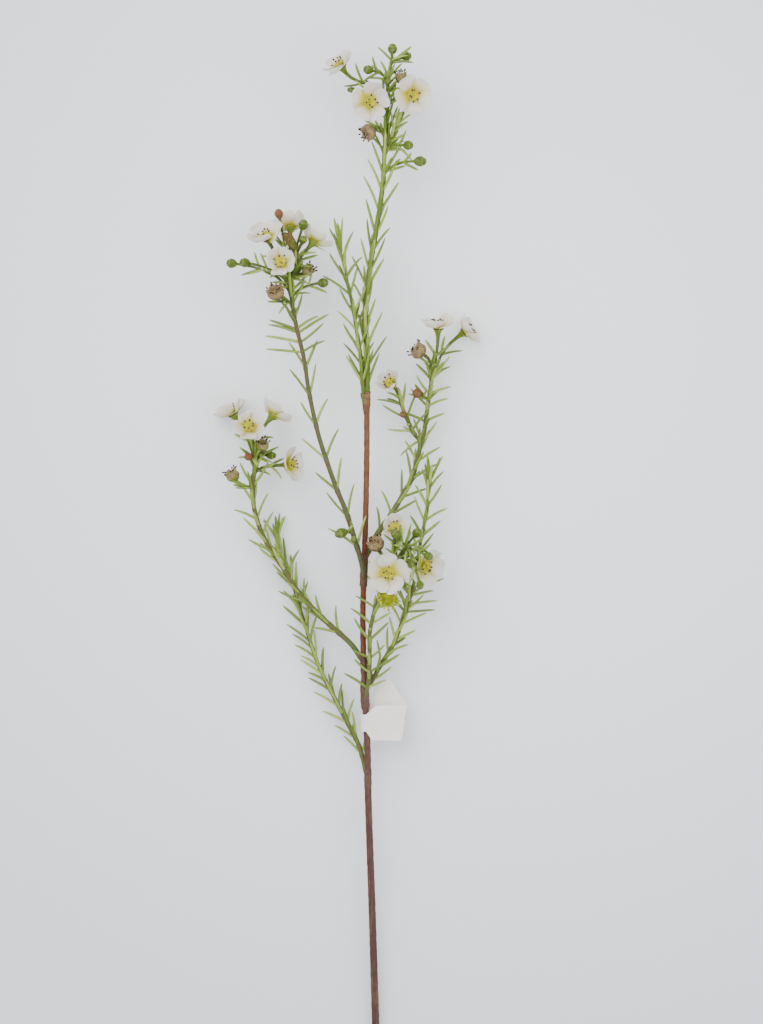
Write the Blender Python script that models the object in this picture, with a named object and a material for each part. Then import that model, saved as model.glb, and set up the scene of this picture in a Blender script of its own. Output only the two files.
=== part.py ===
"""Artificial waxflower stem laid down: a taped wire stem with eight moulded sprays,
their needles, buds, five-petal blooms, spent heads, tape collar and folded label.

Places and sizes below are millimetres. +Y runs along the stem to its top, +Z is up from
the surface it lies on.
"""
import math
import random

import bmesh
import bpy
from mathutils import Matrix, Vector
from mathutils.bvhtree import BVHTree
from mathutils.kdtree import KDTree

MM = 0.001
GAP = 0.3
SHIFT = Vector((4.8, -0.2, -0.05))
SEED = 7

STEM_STEP = 22.0
SPRAY_STEP = 13.0
PEG_RADIUS = 1.0
PEG_LENGTH = 5.0
PEG_WIDENED = 1.6
PEG_NEXT = 1.9
SOCKET_REACH = 26.0

# Needles: length, width and thickness, how far they lean from the stem, how they bend, how
# far they keep from other nodes and from the surface below, and how far apart the pairs are.
NEEDLE_LENGTH = (15.0, 20.0)
NEEDLE_WIDTH = 1.9
NEEDLE_THICKNESS = 1.1
NEEDLE_ANGLE = (30.0, 42.0)
NEEDLE_BEND = (-1.6, -0.4)
NEEDLE_TURN = 14
NEEDLE_CLEARANCE = 0.9
NEEDLE_LOWEST = 1.0
NEEDLE_SPREAD = 1.6
NEEDLE_UNEVEN = (0.85, 1.15)
NEEDLE_MARKS = (0.12, 0.25, 0.37, 0.5, 0.62, 0.75, 0.87, 1.0)
NEEDLE_WIDE_MARKS = 5
NEEDLE_FREE_MARK = 3
NEEDLE_HALF_WIDE = 0.75
NEEDLE_HALF_TIP = 0.25
OWN_CLEARANCE = 0.6
NEEDLE_BETWEEN = 0.7
SLANT_TRIES = (0, 12, -12, 24)
TURN_TRIES = (0, 22, -22, 44, -44, 66, -66)
BLADE_MIDDLE = 0.5
BLADE_FULLNESS = (0.8, 1.9)

# The tuft at a spray's tip: how long it is, and how much shorter and steeper its needles are.
TUFT_REACH = 14
TUFT_LENGTH = 0.85
TUFT_SLANT = 0.7

# Parts of a bloom: calyx, hub, petals (root, half width and how it grows, rise of the sides)
# and the cup in the middle.
CALYX_LENGTH = 6.0
CALYX_FOOT = 1.3
CALYX_RIM = 3.0
CALYX_LOBES = 0.16
HUB_RADIUS = 2.4
HUB_THICKNESS = 1.0
PETALS = 5
PETAL_THICKNESS = 0.7
PETAL_ROOT = 1.2
PETAL_HALF = 0.43
PETAL_HALF_AT_ROOT = 0.36
PETAL_HALF_GROWTH = 0.70
PETAL_SIDE_RISE = 0.9
CUP_HEIGHT = 2.1
CUP_FOOT = 1.8
CUP_RIM = 3.7

# Stamens: how many, length, radii, distance from the middle, depth in the cup and lean.
STAMENS = 5
STAMEN_LENGTH = 4.6
STAMEN_RADII = (0.32, 0.65)
STAMEN_CIRCLE = 2.5
STAMEN_SUNK = 0.9
STAMEN_LEAN = 22
HEAD_STAMENS = 5
HEAD_STAMEN_LENGTH = 4.4
HEAD_STAMEN_RADII = (0.34, 0.65)
HEAD_STAMEN_CIRCLE = 0.24
HEAD_STAMEN_LEVEL = 0.85
HEAD_STAMEN_LEAN = 16

# Spent heads: radius of the foot, how lobed the rim is, and how deep they stand on a stalk.
HEAD_FOOT = 1.4
HEAD_LOBES = 0.14
SEAT = 0.35

# Stalks: radii of those under blooms, heads and buds, how much thicker their roots are, how
# far back on the spray they start, how they leave it and how they come in, and the length
# of their straight end.
BLOOM_STALK = 1.05
HEAD_STALK = 1.1
BUD_STALK = (1.0, 0.85)
STALK_ROOT = 1.15
STALK_LEAD = 0.55
STALK_OUT = 0.4
STALK_IN = 0.35
STALK_STEPS = 3
STALK_END = 1.2
STALK_SUNK = 1.0
BUD_TURN = 0.3

# Main stem: centre line from the cut end to the collar, and its radius along it.
STEM_ROUTE = [
    (16.0, -355.0, 2.7), (15.0, -311.0, 5.4), (12.5, -230.0, 10.5), (10.0, -158.5, 15.0),
    (9.5, -124.5, 17.0), (7.5, -83.5, 19.5), (6.5, -49.5, 22.0), (6.5, -22.5, 23.5),
    (8.0, 25.0, 26.5), (9.0, 73.0, 29.5), (9.0, 108.5, 31.8),
]
STEM_RADII = [(-355.0, 2.65), (-158.0, 2.4), (-60.0, 2.0), (108.5, 2.0)]

# Tape wraps fused round the main stem: the stretch along Y and the radius.
STEM_WRAPS = [(-95.0, -77.0, 3.6), (-14.0, 11.0, 3.1)]
WRAP_TAPER = 1.5
WRAP_PROUD = 0.15

# Each spray: route of its moulded stem from the peg in the main stem to its tip, radius at
# both ends, bare length at the base and spacing of its needle pairs.
SPRAYS = {
    "tall_spray": {
        "route": [(8.9, 109.6, 32.0), (8.9, 118.5, 32.2), (9.0, 147.0, 33.0), (8.0, 164.5, 33.0),
                  (9.0, 184.5, 34.0), (12.0, 209.0, 34.0), (15.5, 229.0, 35.0), (18.5, 247.5, 35.0),
                  (20.5, 268.5, 36.0), (21.5, 290.5, 37.0), (23.0, 311.0, 37.0), (23.5, 329.0, 38.0),
                  (26.0, 345.0, 39.0)],
        "radii": (2.2, 1.1), "bare": 62.0, "pitch": 8.5},
    "twin_spray": {
        "route": [(6.9, 109.6, 34.6), (6.6, 119.0, 35.0), (5.6, 130.0, 36.0), (5.0, 141.0, 36.5),
                  (1.5, 164.5, 37.0), (-1.5, 181.5, 38.0), (-5.0, 196.5, 39.0), (-8.5, 216.0, 39.5)],
        "radii": (1.4, 0.9), "bare": 22.0, "pitch": 7.0},
    "left_upper_spray": {
        "route": [(7.2, -9.0, 25.6), (6.4, -1.5, 28.6), (4.8, 5.5, 30.5), (2.0, 15.0, 31.5),
                  (-5.0, 37.5, 32.0), (-12.0, 54.5, 33.0), (-20.5, 79.0, 34.0), (-25.5, 96.5, 34.5),
                  (-30.5, 120.5, 35.0), (-33.5, 141.0, 36.0), (-37.5, 158.0, 36.5),
                  (-40.5, 172.0, 37.0), (-42.5, 188.0, 38.0), (-43.0, 202.0, 38.0)],
        "radii": (1.9, 1.2), "bare": 30.0, "pitch": 9.0},
    "left_mid_spray": {
        "route": [(6.9, -69.0, 20.2), (4.6, -62.0, 18.4), (-0.5, -54.0, 17.6), (-7.0, -47.5, 18.0),
                  (-19.5, -36.5, 18.0), (-31.5, -24.5, 18.0), (-40.0, -13.5, 18.0), (-48.5, 0.0, 18.0),
                  (-56.0, 11.0, 18.0), (-62.0, 22.0, 18.0), (-65.5, 31.5, 19.0), (-68.0, 42.0, 20.0),
                  (-68.5, 54.5, 21.0), (-67.5, 66.0, 21.5), (-66.5, 77.0, 22.0)],
        "radii": (1.9, 1.3), "bare": 40.0, "pitch": 9.0},
    "lower_left_spray": {
        "route": [(9.6, -147.5, 15.6), (8.0, -139.0, 14.2), (6.0, -130.0, 13.4), (3.5, -121.5, 13.0),
                  (-1.5, -111.5, 12.5), (-12.5, -90.5, 11.0), (-23.5, -68.0, 10.0), (-31.5, -45.0, 9.0),
                  (-39.5, -18.5, 8.5), (-44.5, -2.0, 8.0), (-49.0, 8.0, 8.0), (-52.0, 19.0, 8.0)],
        "radii": (1.6, 0.9), "bare": 34.0, "pitch": 7.5},
    "right_upper_spray": {
        "route": [(8.0, 2.5, 24.6), (11.0, 12.0, 22.6), (14.5, 20.0, 21.8), (24.0, 33.5, 21.0),
                  (31.5, 45.5, 20.0), (39.0, 58.5, 19.5), (42.5, 69.5, 19.0), (45.0, 80.0, 18.5),
                  (48.0, 91.0, 18.0), (49.5, 102.0, 18.0), (51.0, 113.0, 17.5), (52.5, 123.0, 17.0),
                  (54.5, 134.5, 17.0)],
        "radii": (1.9, 1.2), "bare": 34.0, "pitch": 8.5},
    "centre_spray": {
        "route": [(8.0, -90.5, 20.6), (9.0, -83.5, 23.4), (10.6, -75.0, 24.8), (11.0, -58.5, 25.5),
                  (11.0, -46.0, 26.5), (13.0, -34.5, 28.0), (16.5, -22.5, 30.0), (19.5, -13.0, 32.0),
                  (24.0, -4.0, 34.0), (28.0, 3.5, 34.5), (32.0, 9.0, 35.0)],
        "radii": (1.45, 1.1), "bare": 18.0, "pitch": 7.5},
    "right_spray": {
        "route": [(8.6, -86.0, 19.0), (11.8, -79.0, 19.8), (16.0, -71.5, 21.0), (23.5, -58.5, 22.5),
                  (28.0, -51.0, 23.0), (33.5, -36.5, 23.0), (37.5, -24.0, 22.5), (40.0, -15.5, 22.0),
                  (42.0, -7.0, 22.0), (45.0, 13.5, 23.0), (47.5, 26.0, 24.0), (49.5, 36.0, 24.0),
                  (50.5, 47.0, 25.0), (52.0, 59.0, 26.0)],
        "radii": (1.45, 0.9), "bare": 20.0, "pitch": 6.5},
}

# Side branches: the spray each grows from, its route and its radius at both ends.
BRANCHES = {
    "right_side_branch": ("right_upper_spray", [(46.5, 83.5, 18.4), (41.1, 91.1, 20.0), (37.4, 98.6, 22.0),
                                                (34.7, 104.7, 23.5), (32.0, 112.0, 24.5)], (1.5, 1.1)),
    "centre_front_branch": ("centre_spray", [(31.0, 8.0, 35.0), (34.0, 11.5, 42.0), (36.0, 13.5, 50.0),
                                             (38.0, 14.0, 55.0)], (1.2, 1.0)),
    "left_top_branch": ("left_upper_spray", [(-42.8, 192.0, 38.0), (-45.5, 200.0, 44.0),
                                             (-46.5, 206.0, 47.0)], (1.4, 1.1)),
}

# Blooms: the spray that carries it, the middle of its petals, the way it faces, its
# diameter, how far the petal tips rise, and the turn of its petals in degrees.
BLOOMS = {
    "bloom_01": ("tall_spray", (-8.5, 340.0, 42.0), (-0.55, 0.75, 0.35), 26.0, 3.5, 0),
    "bloom_02": ("tall_spray", (10.5, 315.5, 50.0), (0.25, -0.1, 0.95), 28.6, 2.0, 18),
    "bloom_03": ("tall_spray", (39.8, 320.3, 47.0), (0.25, -0.1, 0.95), 28.6, 2.0, 54),
    "bloom_04": ("left_upper_spray", (-58.5, 223.5, 44.0), (-0.35, 0.75, 0.55), 27.0, 4.0, 0),
    "bloom_05": ("left_upper_spray", (-49.3, 206.0, 58.0), (0.0, 0.25, 0.95), 23.0, 3.5, 20),
    "bloom_06": ("left_upper_spray", (-26.9, 221.0, 41.0), (0.5, 0.6, -0.3), 25.0, 4.0, 10),
    "bloom_07": ("left_upper_spray", (-43.0, 231.0, 30.0), (0.0, 0.8, -0.6), 24.0, 4.0, 0),
    "bloom_08": ("left_mid_spray", (-82.6, 104.7, 11.45), (-0.5, 0.8, 0.2), 26.0, 4.0, 0),
    "bloom_09": ("left_mid_spray", (-70.4, 95.2, 38.0), (0.0, 0.2, 0.95), 23.0, 4.0, 15),
    "bloom_10": ("left_mid_spray", (-54.7, 103.4, 20.0), (0.6, 0.7, -0.2), 26.0, 4.0, 0),
    "bloom_11": ("left_mid_spray", (-44.0, 70.0, 26.0), (0.75, 0.1, 0.6), 26.0, 3.5, 0),
    "bloom_12": ("right_upper_spray", (57.5, 163.0, 26.0), (0.0, 0.95, 0.3), 26.0, 3.5, 0),
    "bloom_13": ("right_upper_spray", (76.0, 160.5, 11.06), (0.75, 0.55, 0.2), 25.0, 3.5, 0),
    "bloom_14": ("right_side_branch", (25.5, 124.4, 31.0), (-0.4, 0.4, 0.8), 18.6, 5.0, 0),
    "bloom_15": ("centre_spray", (28.0, 26.0, 41.0), (0.1, 0.35, 0.9), 20.0, 3.5, 0),
    "bloom_16": ("centre_spray", (23.5, -4.0, 48.0), (0.0, -0.1, 1.0), 30.0, 1.5, 18),
    "bloom_17": ("centre_spray", (48.0, 0.5, 41.0), (0.6, -0.25, 0.75), 28.6, 2.0, 0),
}

# Spent heads: spray, foot of the cup, the way it opens, its width and length, and colour.
HEADS = {
    "spent_head_01": ("tall_spray", (33.0, 327.0, 40.0), (-0.1, 1.0, 0.1), 8.0, 8.0, "cup_green"),
    "spent_head_02": ("tall_spray", (14.5, 297.5, 44.0), (-0.8, -0.45, 0.4), 11.0, 8.0, "spent_brown"),
    "spent_head_03": ("left_upper_spray", (-38.4, 213.0, 53.0),
                      (-0.45, 0.85, 0.1), 6.5, 15.0, "spent_olive"),
    "spent_head_04": ("left_upper_spray", (-34.0, 199.0, 44.0), (0.6, 0.45, 0.5), 8.0, 7.0, "cup_green"),
    "spent_head_05": ("left_upper_spray", (-51.5, 182.0, 45.0),
                      (-0.2, 0.75, 0.6), 11.5, 8.0, "spent_brown"),
    "spent_head_06": ("left_mid_spray", (-61.0, 79.0, 30.0), (-0.1, 0.8, 0.55), 8.0, 7.0, "cup_green"),
    "spent_head_07": ("left_mid_spray", (-79.5, 58.0, 25.0), (-0.5, 0.8, 0.3), 9.0, 8.0, "cup_green"),
    "spent_head_08": ("right_upper_spray", (48.5, 144.0, 25.0),
                      (-0.75, 0.55, 0.35), 11.0, 8.0, "spent_brown"),
    "spent_head_09": ("centre_spray", (17.5, 11.0, 38.0), (-0.35, 0.8, 0.5), 11.0, 9.0, "spent_brown"),
    "spent_head_10": ("centre_spray", (23.5, -20.8, 36.5), (0.0, -0.15, 1.0), 10.0, 6.0, "cup_green"),
}

# Buds: spray, middle of the bud, its diameter and its length.
BUDS = [
    ("tall_spray", (26.5, 352.0, 39.5), 6.6, 7.2), ("tall_spray", (36.2, 347.0, 36.0), 6.4, 7.0),
    ("tall_spray", (9.9, 337.6, 42.0), 6.4, 7.0), ("tall_spray", (23.5, 329.5, 46.0), 4.8, 5.4),
    ("tall_spray", (-1.4, 324.0, 38.0), 4.2, 6.2), ("tall_spray", (37.4, 286.3, 41.0), 6.6, 7.0),
    ("tall_spray", (45.6, 275.4, 42.0), 7.2, 8.6),
    ("left_upper_spray", (-50.7, 240.0, 40.0), 6.0, 6.8),
    ("left_upper_spray", (-34.0, 232.5, 46.0), 6.6, 7.4),
    ("left_upper_spray", (-34.0, 222.0, 50.0), 5.6, 6.0),
    ("left_upper_spray", (-74.0, 206.8, 38.0), 6.6, 7.2),
    ("left_upper_spray", (-83.0, 206.4, 36.0), 6.6, 7.2),
    ("left_upper_spray", (-20.4, 193.0, 41.0), 6.8, 7.4),
    ("left_upper_spray", (-8.5, 23.0, 37.5), 7.0, 10.0), ("left_upper_spray", (0.4, 19.0, 37.5), 4.6, 5.6),
    ("left_mid_spray", (-71.5, 75.0, 31.0), 5.4, 8.0), ("left_mid_spray", (-56.0, 76.0, 23.0), 5.6, 7.0),
    ("right_upper_spray", (43.2, 118.2, 25.5), 6.6, 7.2),
    ("right_side_branch", (33.4, 103.8, 29.0), 4.4, 5.0),
    ("centre_front_branch", (28.4, 22.5, 53.0), 6.4, 7.4), ("centre_spray", (43.2, 23.4, 38.0), 6.6, 7.2),
    ("centre_front_branch", (51.0, 7.5, 55.0), 5.8, 6.4),
    ("centre_front_branch", (45.2, -12.2, 57.0), 5.4, 6.0),
]

# Collar of tan tape that binds the two upper sprays to the main stem's top.
COLLAR_ROUTE = [(9.0, 104.0, 31.5), (8.8, 109.0, 32.0), (8.3, 118.3, 32.9)]
COLLAR_RADII = [2.9, 3.6, 4.2]

# Folded paper label: the neck wraps the main stem's left side.
LABEL_THICKNESS = 0.7
LABEL_AXIS = (8.55, -106.4, 18.15)
LABEL_WRAP_INNER = 3.2
LABEL_NECK = 11.0
LABEL_WRAP_STEPS = 8
LABEL_FRONT = [(35.7, -94.4), (15.0, -94.2), (7.0, -100.6), (7.0, -112.2), (11.2, -118.0), (35.7, -118.3)]
LABEL_BACK = [(7.0, -100.6), (15.3, -84.0), (22.8, -73.4), (37.0, -95.2), (24.0, -114.0), (7.0, -112.2)]

COLOURS = {
    "stem_tape": ((0.24, 0.075, 0.06), 0.65), "collar_tape": ((0.48, 0.24, 0.14), 0.7),
    "spray_green": ((0.15, 0.19, 0.035), 0.5), "petal_white": ((0.88, 0.86, 0.82), 0.55),
    "centre_yellow": ((0.52, 0.50, 0.05), 0.5), "spent_brown": ((0.33, 0.19, 0.11), 0.7),
    "spent_olive": ((0.24, 0.17, 0.08), 0.7), "cup_green": ((0.17, 0.24, 0.05), 0.6),
    "label_paper": ((0.86, 0.84, 0.80), 0.85),
}


def clear_scene():
    for obj in list(bpy.data.objects):
        bpy.data.objects.remove(obj)


def at(point):
    """A place in millimetres as metres in the part's frame."""
    return (Vector(point) + SHIFT) * MM


def material(name):
    colour, roughness = COLOURS[name]
    made = bpy.data.materials.get(name)
    if made is None:
        made = bpy.data.materials.new(name)
        made.use_nodes = True
        shader = made.node_tree.nodes["Principled BSDF"]
        shader.inputs["Base Color"].default_value = (*colour, 1.0)
        shader.inputs["Roughness"].default_value = roughness
        shader.inputs["Metallic"].default_value = 0.0
    return made


def add_object(name, mesh, collection):
    obj = bpy.data.objects.new(name, mesh)
    collection.objects.link(obj)
    return obj


def body_from(bm, name, collection):
    """An object from a closed bmesh, its faces turned outwards."""
    bmesh.ops.recalc_face_normals(bm, faces=bm.faces[:])
    mesh = bpy.data.meshes.new(name)
    bm.to_mesh(mesh)
    bm.free()
    return add_object(name, mesh, collection)


class Route:
    """A smooth line through a few points, read by its length from the start."""

    def __init__(self, points, step):
        line = spline_through([at(p) for p in points])
        self.marks = [0.0]
        for a, b in zip(line, line[1:]):
            self.marks.append(self.marks[-1] + (b - a).length)
        self.line = line
        self.length = self.marks[-1]
        count = max(2, round(self.length / (step * MM)))
        self.stations = [self.length * k / count for k in range(count + 1)]

    def place(self, distance):
        """The point at a distance along the route, and the direction there."""
        distance = min(max(distance, 0.0), self.length)
        k = 1
        while k < len(self.marks) - 1 and self.marks[k] < distance:
            k += 1
        a, b = self.line[k - 1], self.line[k]
        part = (distance - self.marks[k - 1]) / max(self.marks[k] - self.marks[k - 1], 1e-9)
        return a.lerp(b, part), (b - a).normalized()

    def nearest(self, point):
        """The distance along the route of its point nearest to a place."""
        gaps = [(p - point).length for p in self.line]
        return self.marks[gaps.index(min(gaps))]


def spline_through(points, steps=8):
    """Catmull-Rom points through the given ones."""
    ends = [2 * points[0] - points[1]] + points + [2 * points[-1] - points[-2]]
    line = []
    for a, b, c, d in zip(ends, ends[1:], ends[2:], ends[3:]):
        for k in range(steps):
            t = k / steps
            line.append(0.5 * (2 * b + (c - a) * t + (2 * a - 5 * b + 4 * c - d) * t * t
                               + (3 * b - a - 3 * c + d) * t ** 3))
    line.append(points[-1].copy())
    return line


def tube(name, points, radii, sides, collection):
    """A closed tube with flat caps along the points, as a mesh."""
    curve = bpy.data.curves.new(name, "CURVE")
    curve.dimensions = "3D"
    curve.bevel_depth = MM
    curve.bevel_resolution = (sides - 4) // 2
    curve.use_fill_caps = True
    spline = curve.splines.new("POLY")
    spline.points.add(len(points) - 1)
    for node, point, radius in zip(spline.points, points, radii):
        node.co = (*point, 1.0)
        node.radius = radius
    drawn = add_object(name + "_line", curve, collection)
    depsgraph = bpy.context.evaluated_depsgraph_get()
    mesh = bpy.data.meshes.new_from_object(drawn.evaluated_get(depsgraph))
    bm = bmesh.new()
    bm.from_mesh(mesh)
    bmesh.ops.remove_doubles(bm, verts=bm.verts[:], dist=0.001 * MM)
    bpy.data.objects.remove(drawn)
    bpy.data.meshes.remove(mesh)
    return body_from(bm, name, collection)


def facing(place, direction, turn=0.0):
    """Puts local +Z along a direction at a place, turned about it by an angle."""
    aim = Vector(direction).normalized().to_track_quat("Z", "Y").to_matrix().to_4x4()
    return Matrix.Translation(place) @ aim @ Matrix.Rotation(turn, 4, "Z")


def cone(foot, rim, height, sides, lobes=0.0):
    """A solid that widens from z = 0 up, its rim in and out by turns."""
    bm = bmesh.new()
    bmesh.ops.create_cone(bm, cap_ends=True, segments=sides, radius1=foot * MM,
                          radius2=rim * MM, depth=height * MM)
    bmesh.ops.translate(bm, verts=bm.verts[:], vec=(0, 0, height * MM / 2))
    top = [v for v in bm.verts if v.co.z > height * MM / 2]
    top.sort(key=lambda v: math.atan2(v.co.y, v.co.x))
    for number, vert in enumerate(top):
        spread = 1 + lobes if number % 2 else 1 - lobes
        vert.co.x *= spread
        vert.co.y *= spread
    return bm


def blade(length, width, thickness, bend):
    """A three-sided needle from z = 0 up, widest at its middle and bent along local Y."""
    bm = bmesh.new()
    bmesh.ops.create_cone(bm, cap_ends=True, segments=3, radius1=1.0, radius2=0.0, depth=1.0)
    bmesh.ops.remove_doubles(bm, verts=bm.verts[:], dist=1e-4)
    bmesh.ops.translate(bm, verts=bm.verts[:], vec=(0, 0, 0.5))
    bmesh.ops.bisect_plane(bm, geom=bm.verts[:] + bm.edges[:] + bm.faces[:],
                           plane_co=(0, 0, BLADE_MIDDLE), plane_no=(0, 0, 1))
    for vert in bm.verts:
        run = vert.co.z
        fullness = BLADE_FULLNESS[abs(run - BLADE_MIDDLE) < 0.01]
        vert.co.x *= fullness * width / 1.732 * MM
        vert.co.y = vert.co.y * fullness * thickness / 1.5 * MM + bend * run * run * MM
        vert.co.z = run * length * MM
    return bm


def club(length, root, head):
    """A three-sided stamen that thickens towards its anther."""
    bm = bmesh.new()
    bmesh.ops.create_cone(bm, cap_ends=True, segments=3, radius1=root * MM, radius2=head * MM,
                          depth=length * MM)
    bmesh.ops.translate(bm, verts=bm.verts[:], vec=(0, 0, length * MM / 2))
    return bm


def join_bodies(target, others):
    """One closed body from a target and all that touches it, by a single union."""
    helpers = bpy.data.collections.new(target.name + "_pieces")
    bpy.context.scene.collection.children.link(helpers)
    for obj in others:
        for owner in list(obj.users_collection):
            owner.objects.unlink(obj)
        helpers.objects.link(obj)
    boolean = target.modifiers.new("union", "BOOLEAN")
    boolean.operation = "UNION"
    boolean.operand_type = "COLLECTION"
    boolean.collection = helpers
    boolean.solver = "EXACT"
    keep_result(target)
    keep_main_body(target)
    for obj in list(helpers.objects):
        bpy.data.objects.remove(obj)
    bpy.data.collections.remove(helpers)


def cut_from(target, cutter):
    boolean = target.modifiers.new("cut", "BOOLEAN")
    boolean.operation = "DIFFERENCE"
    boolean.object = cutter
    boolean.solver = "EXACT"
    keep_result(target)
    bpy.data.objects.remove(cutter)


def keep_result(target):
    """Applies the modifiers of an object to its mesh."""
    depsgraph = bpy.context.evaluated_depsgraph_get()
    mesh = bpy.data.meshes.new_from_object(target.evaluated_get(depsgraph))
    target.modifiers.clear()
    old = target.data
    target.data = mesh
    bpy.data.meshes.remove(old)
    bm = bmesh.new()
    bm.from_mesh(mesh)
    bmesh.ops.remove_doubles(bm, verts=bm.verts[:], dist=0.0005 * MM)
    bm.to_mesh(mesh)
    bm.free()


def keep_main_body(target):
    """Drops loose scraps and fills sealed hollows: only the largest shell stays."""
    bm = bmesh.new()
    bm.from_mesh(target.data)
    left = set(bm.verts)
    shells = []
    while left:
        shell = {left.pop()}
        edge = list(shell)
        while edge:
            vert = edge.pop()
            for link in vert.link_edges:
                other = link.other_vert(vert)
                if other in left:
                    left.discard(other)
                    shell.add(other)
                    edge.append(other)
        shells.append(shell)
    main_shell = max(shells, key=len)
    bmesh.ops.delete(bm, geom=[v for v in bm.verts if v not in main_shell], context="VERTS")
    bm.to_mesh(target.data)
    bm.free()


def finish_node(obj, name, look):
    obj.name = name
    obj.data.name = name
    obj.data.materials.clear()
    obj.data.materials.append(material(look))


def stem_radius(y):
    for (low, r_low), (high, r_high) in zip(STEM_RADII, STEM_RADII[1:]):
        if y <= high:
            return r_low + (r_high - r_low) * (y - low) / (high - low)
    return STEM_RADII[-1][1]


def spray_radius(spray, route, distance):
    """The peg that goes into the stem, then an even taper to the tip."""
    first, last = spray["radii"]
    full = first + (last - first) * distance / route.length
    peg = PEG_LENGTH * MM
    if distance <= peg:
        return PEG_RADIUS
    return min(full, PEG_RADIUS + (full - PEG_RADIUS) * (distance - peg) / ((PEG_WIDENED - 1) * peg))


def spray_stations(route):
    """Sections of a spray's stem, with more where its peg ends and has widened."""
    peg = PEG_LENGTH * MM
    return [0.0, peg, PEG_WIDENED * peg] + [s for s in route.stations if s > PEG_NEXT * peg]


def stem_tube(spray, route, extra, name, reach, collection):
    marks = [s for s in spray_stations(route) if s <= reach]
    points = [route.place(s)[0] for s in marks]
    radii = [spray_radius(spray, route, s) + extra for s in marks]
    if extra:
        points[0] = points[0] - route.place(0)[1] * extra * MM
    return tube(name, points, radii, 6, collection)


def stalk_points(route, foot, direction):
    """A curved stalk from inside the spray's stem to a foot, which it meets head on."""
    near = route.nearest(foot)
    away = (route.place(near)[0] - foot).length
    start, along = route.place(near - STALK_LEAD * away)
    reach = (foot - start).length
    first = start + along * reach * STALK_OUT
    second = foot - Vector(direction).normalized() * reach * STALK_IN
    points = []
    for k in range(STALK_STEPS + 1):
        t = k / STALK_STEPS
        points.append(start * (1 - t) ** 3 + first * 3 * t * (1 - t) ** 2
                      + second * 3 * t * t * (1 - t) + foot * t ** 3)
    return points


def add_stalk(name, route, foot, direction, radius, collection):
    points = stalk_points(route, foot, direction)
    points.insert(-1, foot - Vector(direction).normalized() * STALK_END * MM)
    radii = [radius * STALK_ROOT] + [radius] * (len(points) - 1)
    return tube(name, points, radii, 4, collection)


def make_bud(spray_name, route, place, width, length, collection):
    """A bud on its stalk, pointing on from the stalk's end."""
    middle = at(place)
    points = stalk_points(route, middle, (middle - route.place(route.nearest(middle))[0]))
    aim = (points[-1] - points[-2]).normalized()
    radii = [BUD_STALK[0]] + [BUD_STALK[1]] * (len(points) - 1)
    stalk = tube(spray_name + "_bud_stalk", points, radii, 4, collection)
    bm = bmesh.new()
    bmesh.ops.create_uvsphere(bm, u_segments=6, v_segments=3, radius=1.0)
    bmesh.ops.scale(bm, verts=bm.verts[:], vec=(width / 2 * MM, width / 2 * MM, length / 2 * MM))
    bm.transform(facing(middle, aim, BUD_TURN))
    return [stalk, body_from(bm, spray_name + "_bud", collection)]


def bloom_base(middle, direction):
    """Where the foot of a bloom's calyx is, below the middle of its petals."""
    return at(middle) - Vector(direction).normalized() * (CALYX_LENGTH + GAP + HUB_THICKNESS / 2) * MM


def make_calyx(name, foot, direction, turn, collection):
    bm = cone(CALYX_FOOT, CALYX_RIM, CALYX_LENGTH, 10, CALYX_LOBES)
    bm.transform(facing(foot, direction, math.radians(turn)))
    return body_from(bm, name, collection)


def make_petal(length, cup, collection, name):
    """One broad rounded petal along +X, from inside the hub to its raised tip."""
    bm = bmesh.new()
    bmesh.ops.create_circle(bm, cap_ends=True, cap_tris=True, segments=6, radius=1.0)
    bmesh.ops.rotate(bm, verts=bm.verts[:], cent=(0, 0, 0), matrix=Matrix.Rotation(math.pi / 6, 3, "Z"))
    for vert in bm.verts:
        run = (vert.co.x + 1) / 2
        side = vert.co.y
        half = length * PETAL_HALF * (PETAL_HALF_AT_ROOT + PETAL_HALF_GROWTH * run)
        vert.co = Vector((PETAL_ROOT + run * (length - PETAL_ROOT), side * half,
                          cup * run * run + PETAL_SIDE_RISE * side * side * run)) * MM
    bmesh.ops.solidify(bm, geom=bm.faces[:], thickness=PETAL_THICKNESS * MM)
    lowest = min(v.co.z for v in bm.verts if v.co.x < (PETAL_ROOT + 0.5) * MM)
    bmesh.ops.translate(bm, verts=bm.verts[:],
                        vec=(0, 0, (HUB_THICKNESS - PETAL_THICKNESS) / 2 * MM - lowest))
    return body_from(bm, name, collection)


def make_petals(name, middle, direction, width, cup, turn, collection):
    """Five petals joined by a small hub that sits just above the calyx."""
    hub_foot = at(middle) - Vector(direction).normalized() * HUB_THICKNESS / 2 * MM
    placing = facing(hub_foot, direction, math.radians(turn))
    hub = body_from(cone(HUB_RADIUS, HUB_RADIUS, HUB_THICKNESS, 10), name, collection)
    petals = []
    for number in range(PETALS):
        petal = make_petal(width / 2, cup, collection, name + "_petal")
        petal.data.transform(Matrix.Rotation(math.tau * number / PETALS, 4, "Z"))
        petals.append(petal)
    join_bodies(hub, petals)
    hub.data.transform(placing)
    finish_node(hub, name + "_petals", "petal_white")
    return hub


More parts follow.
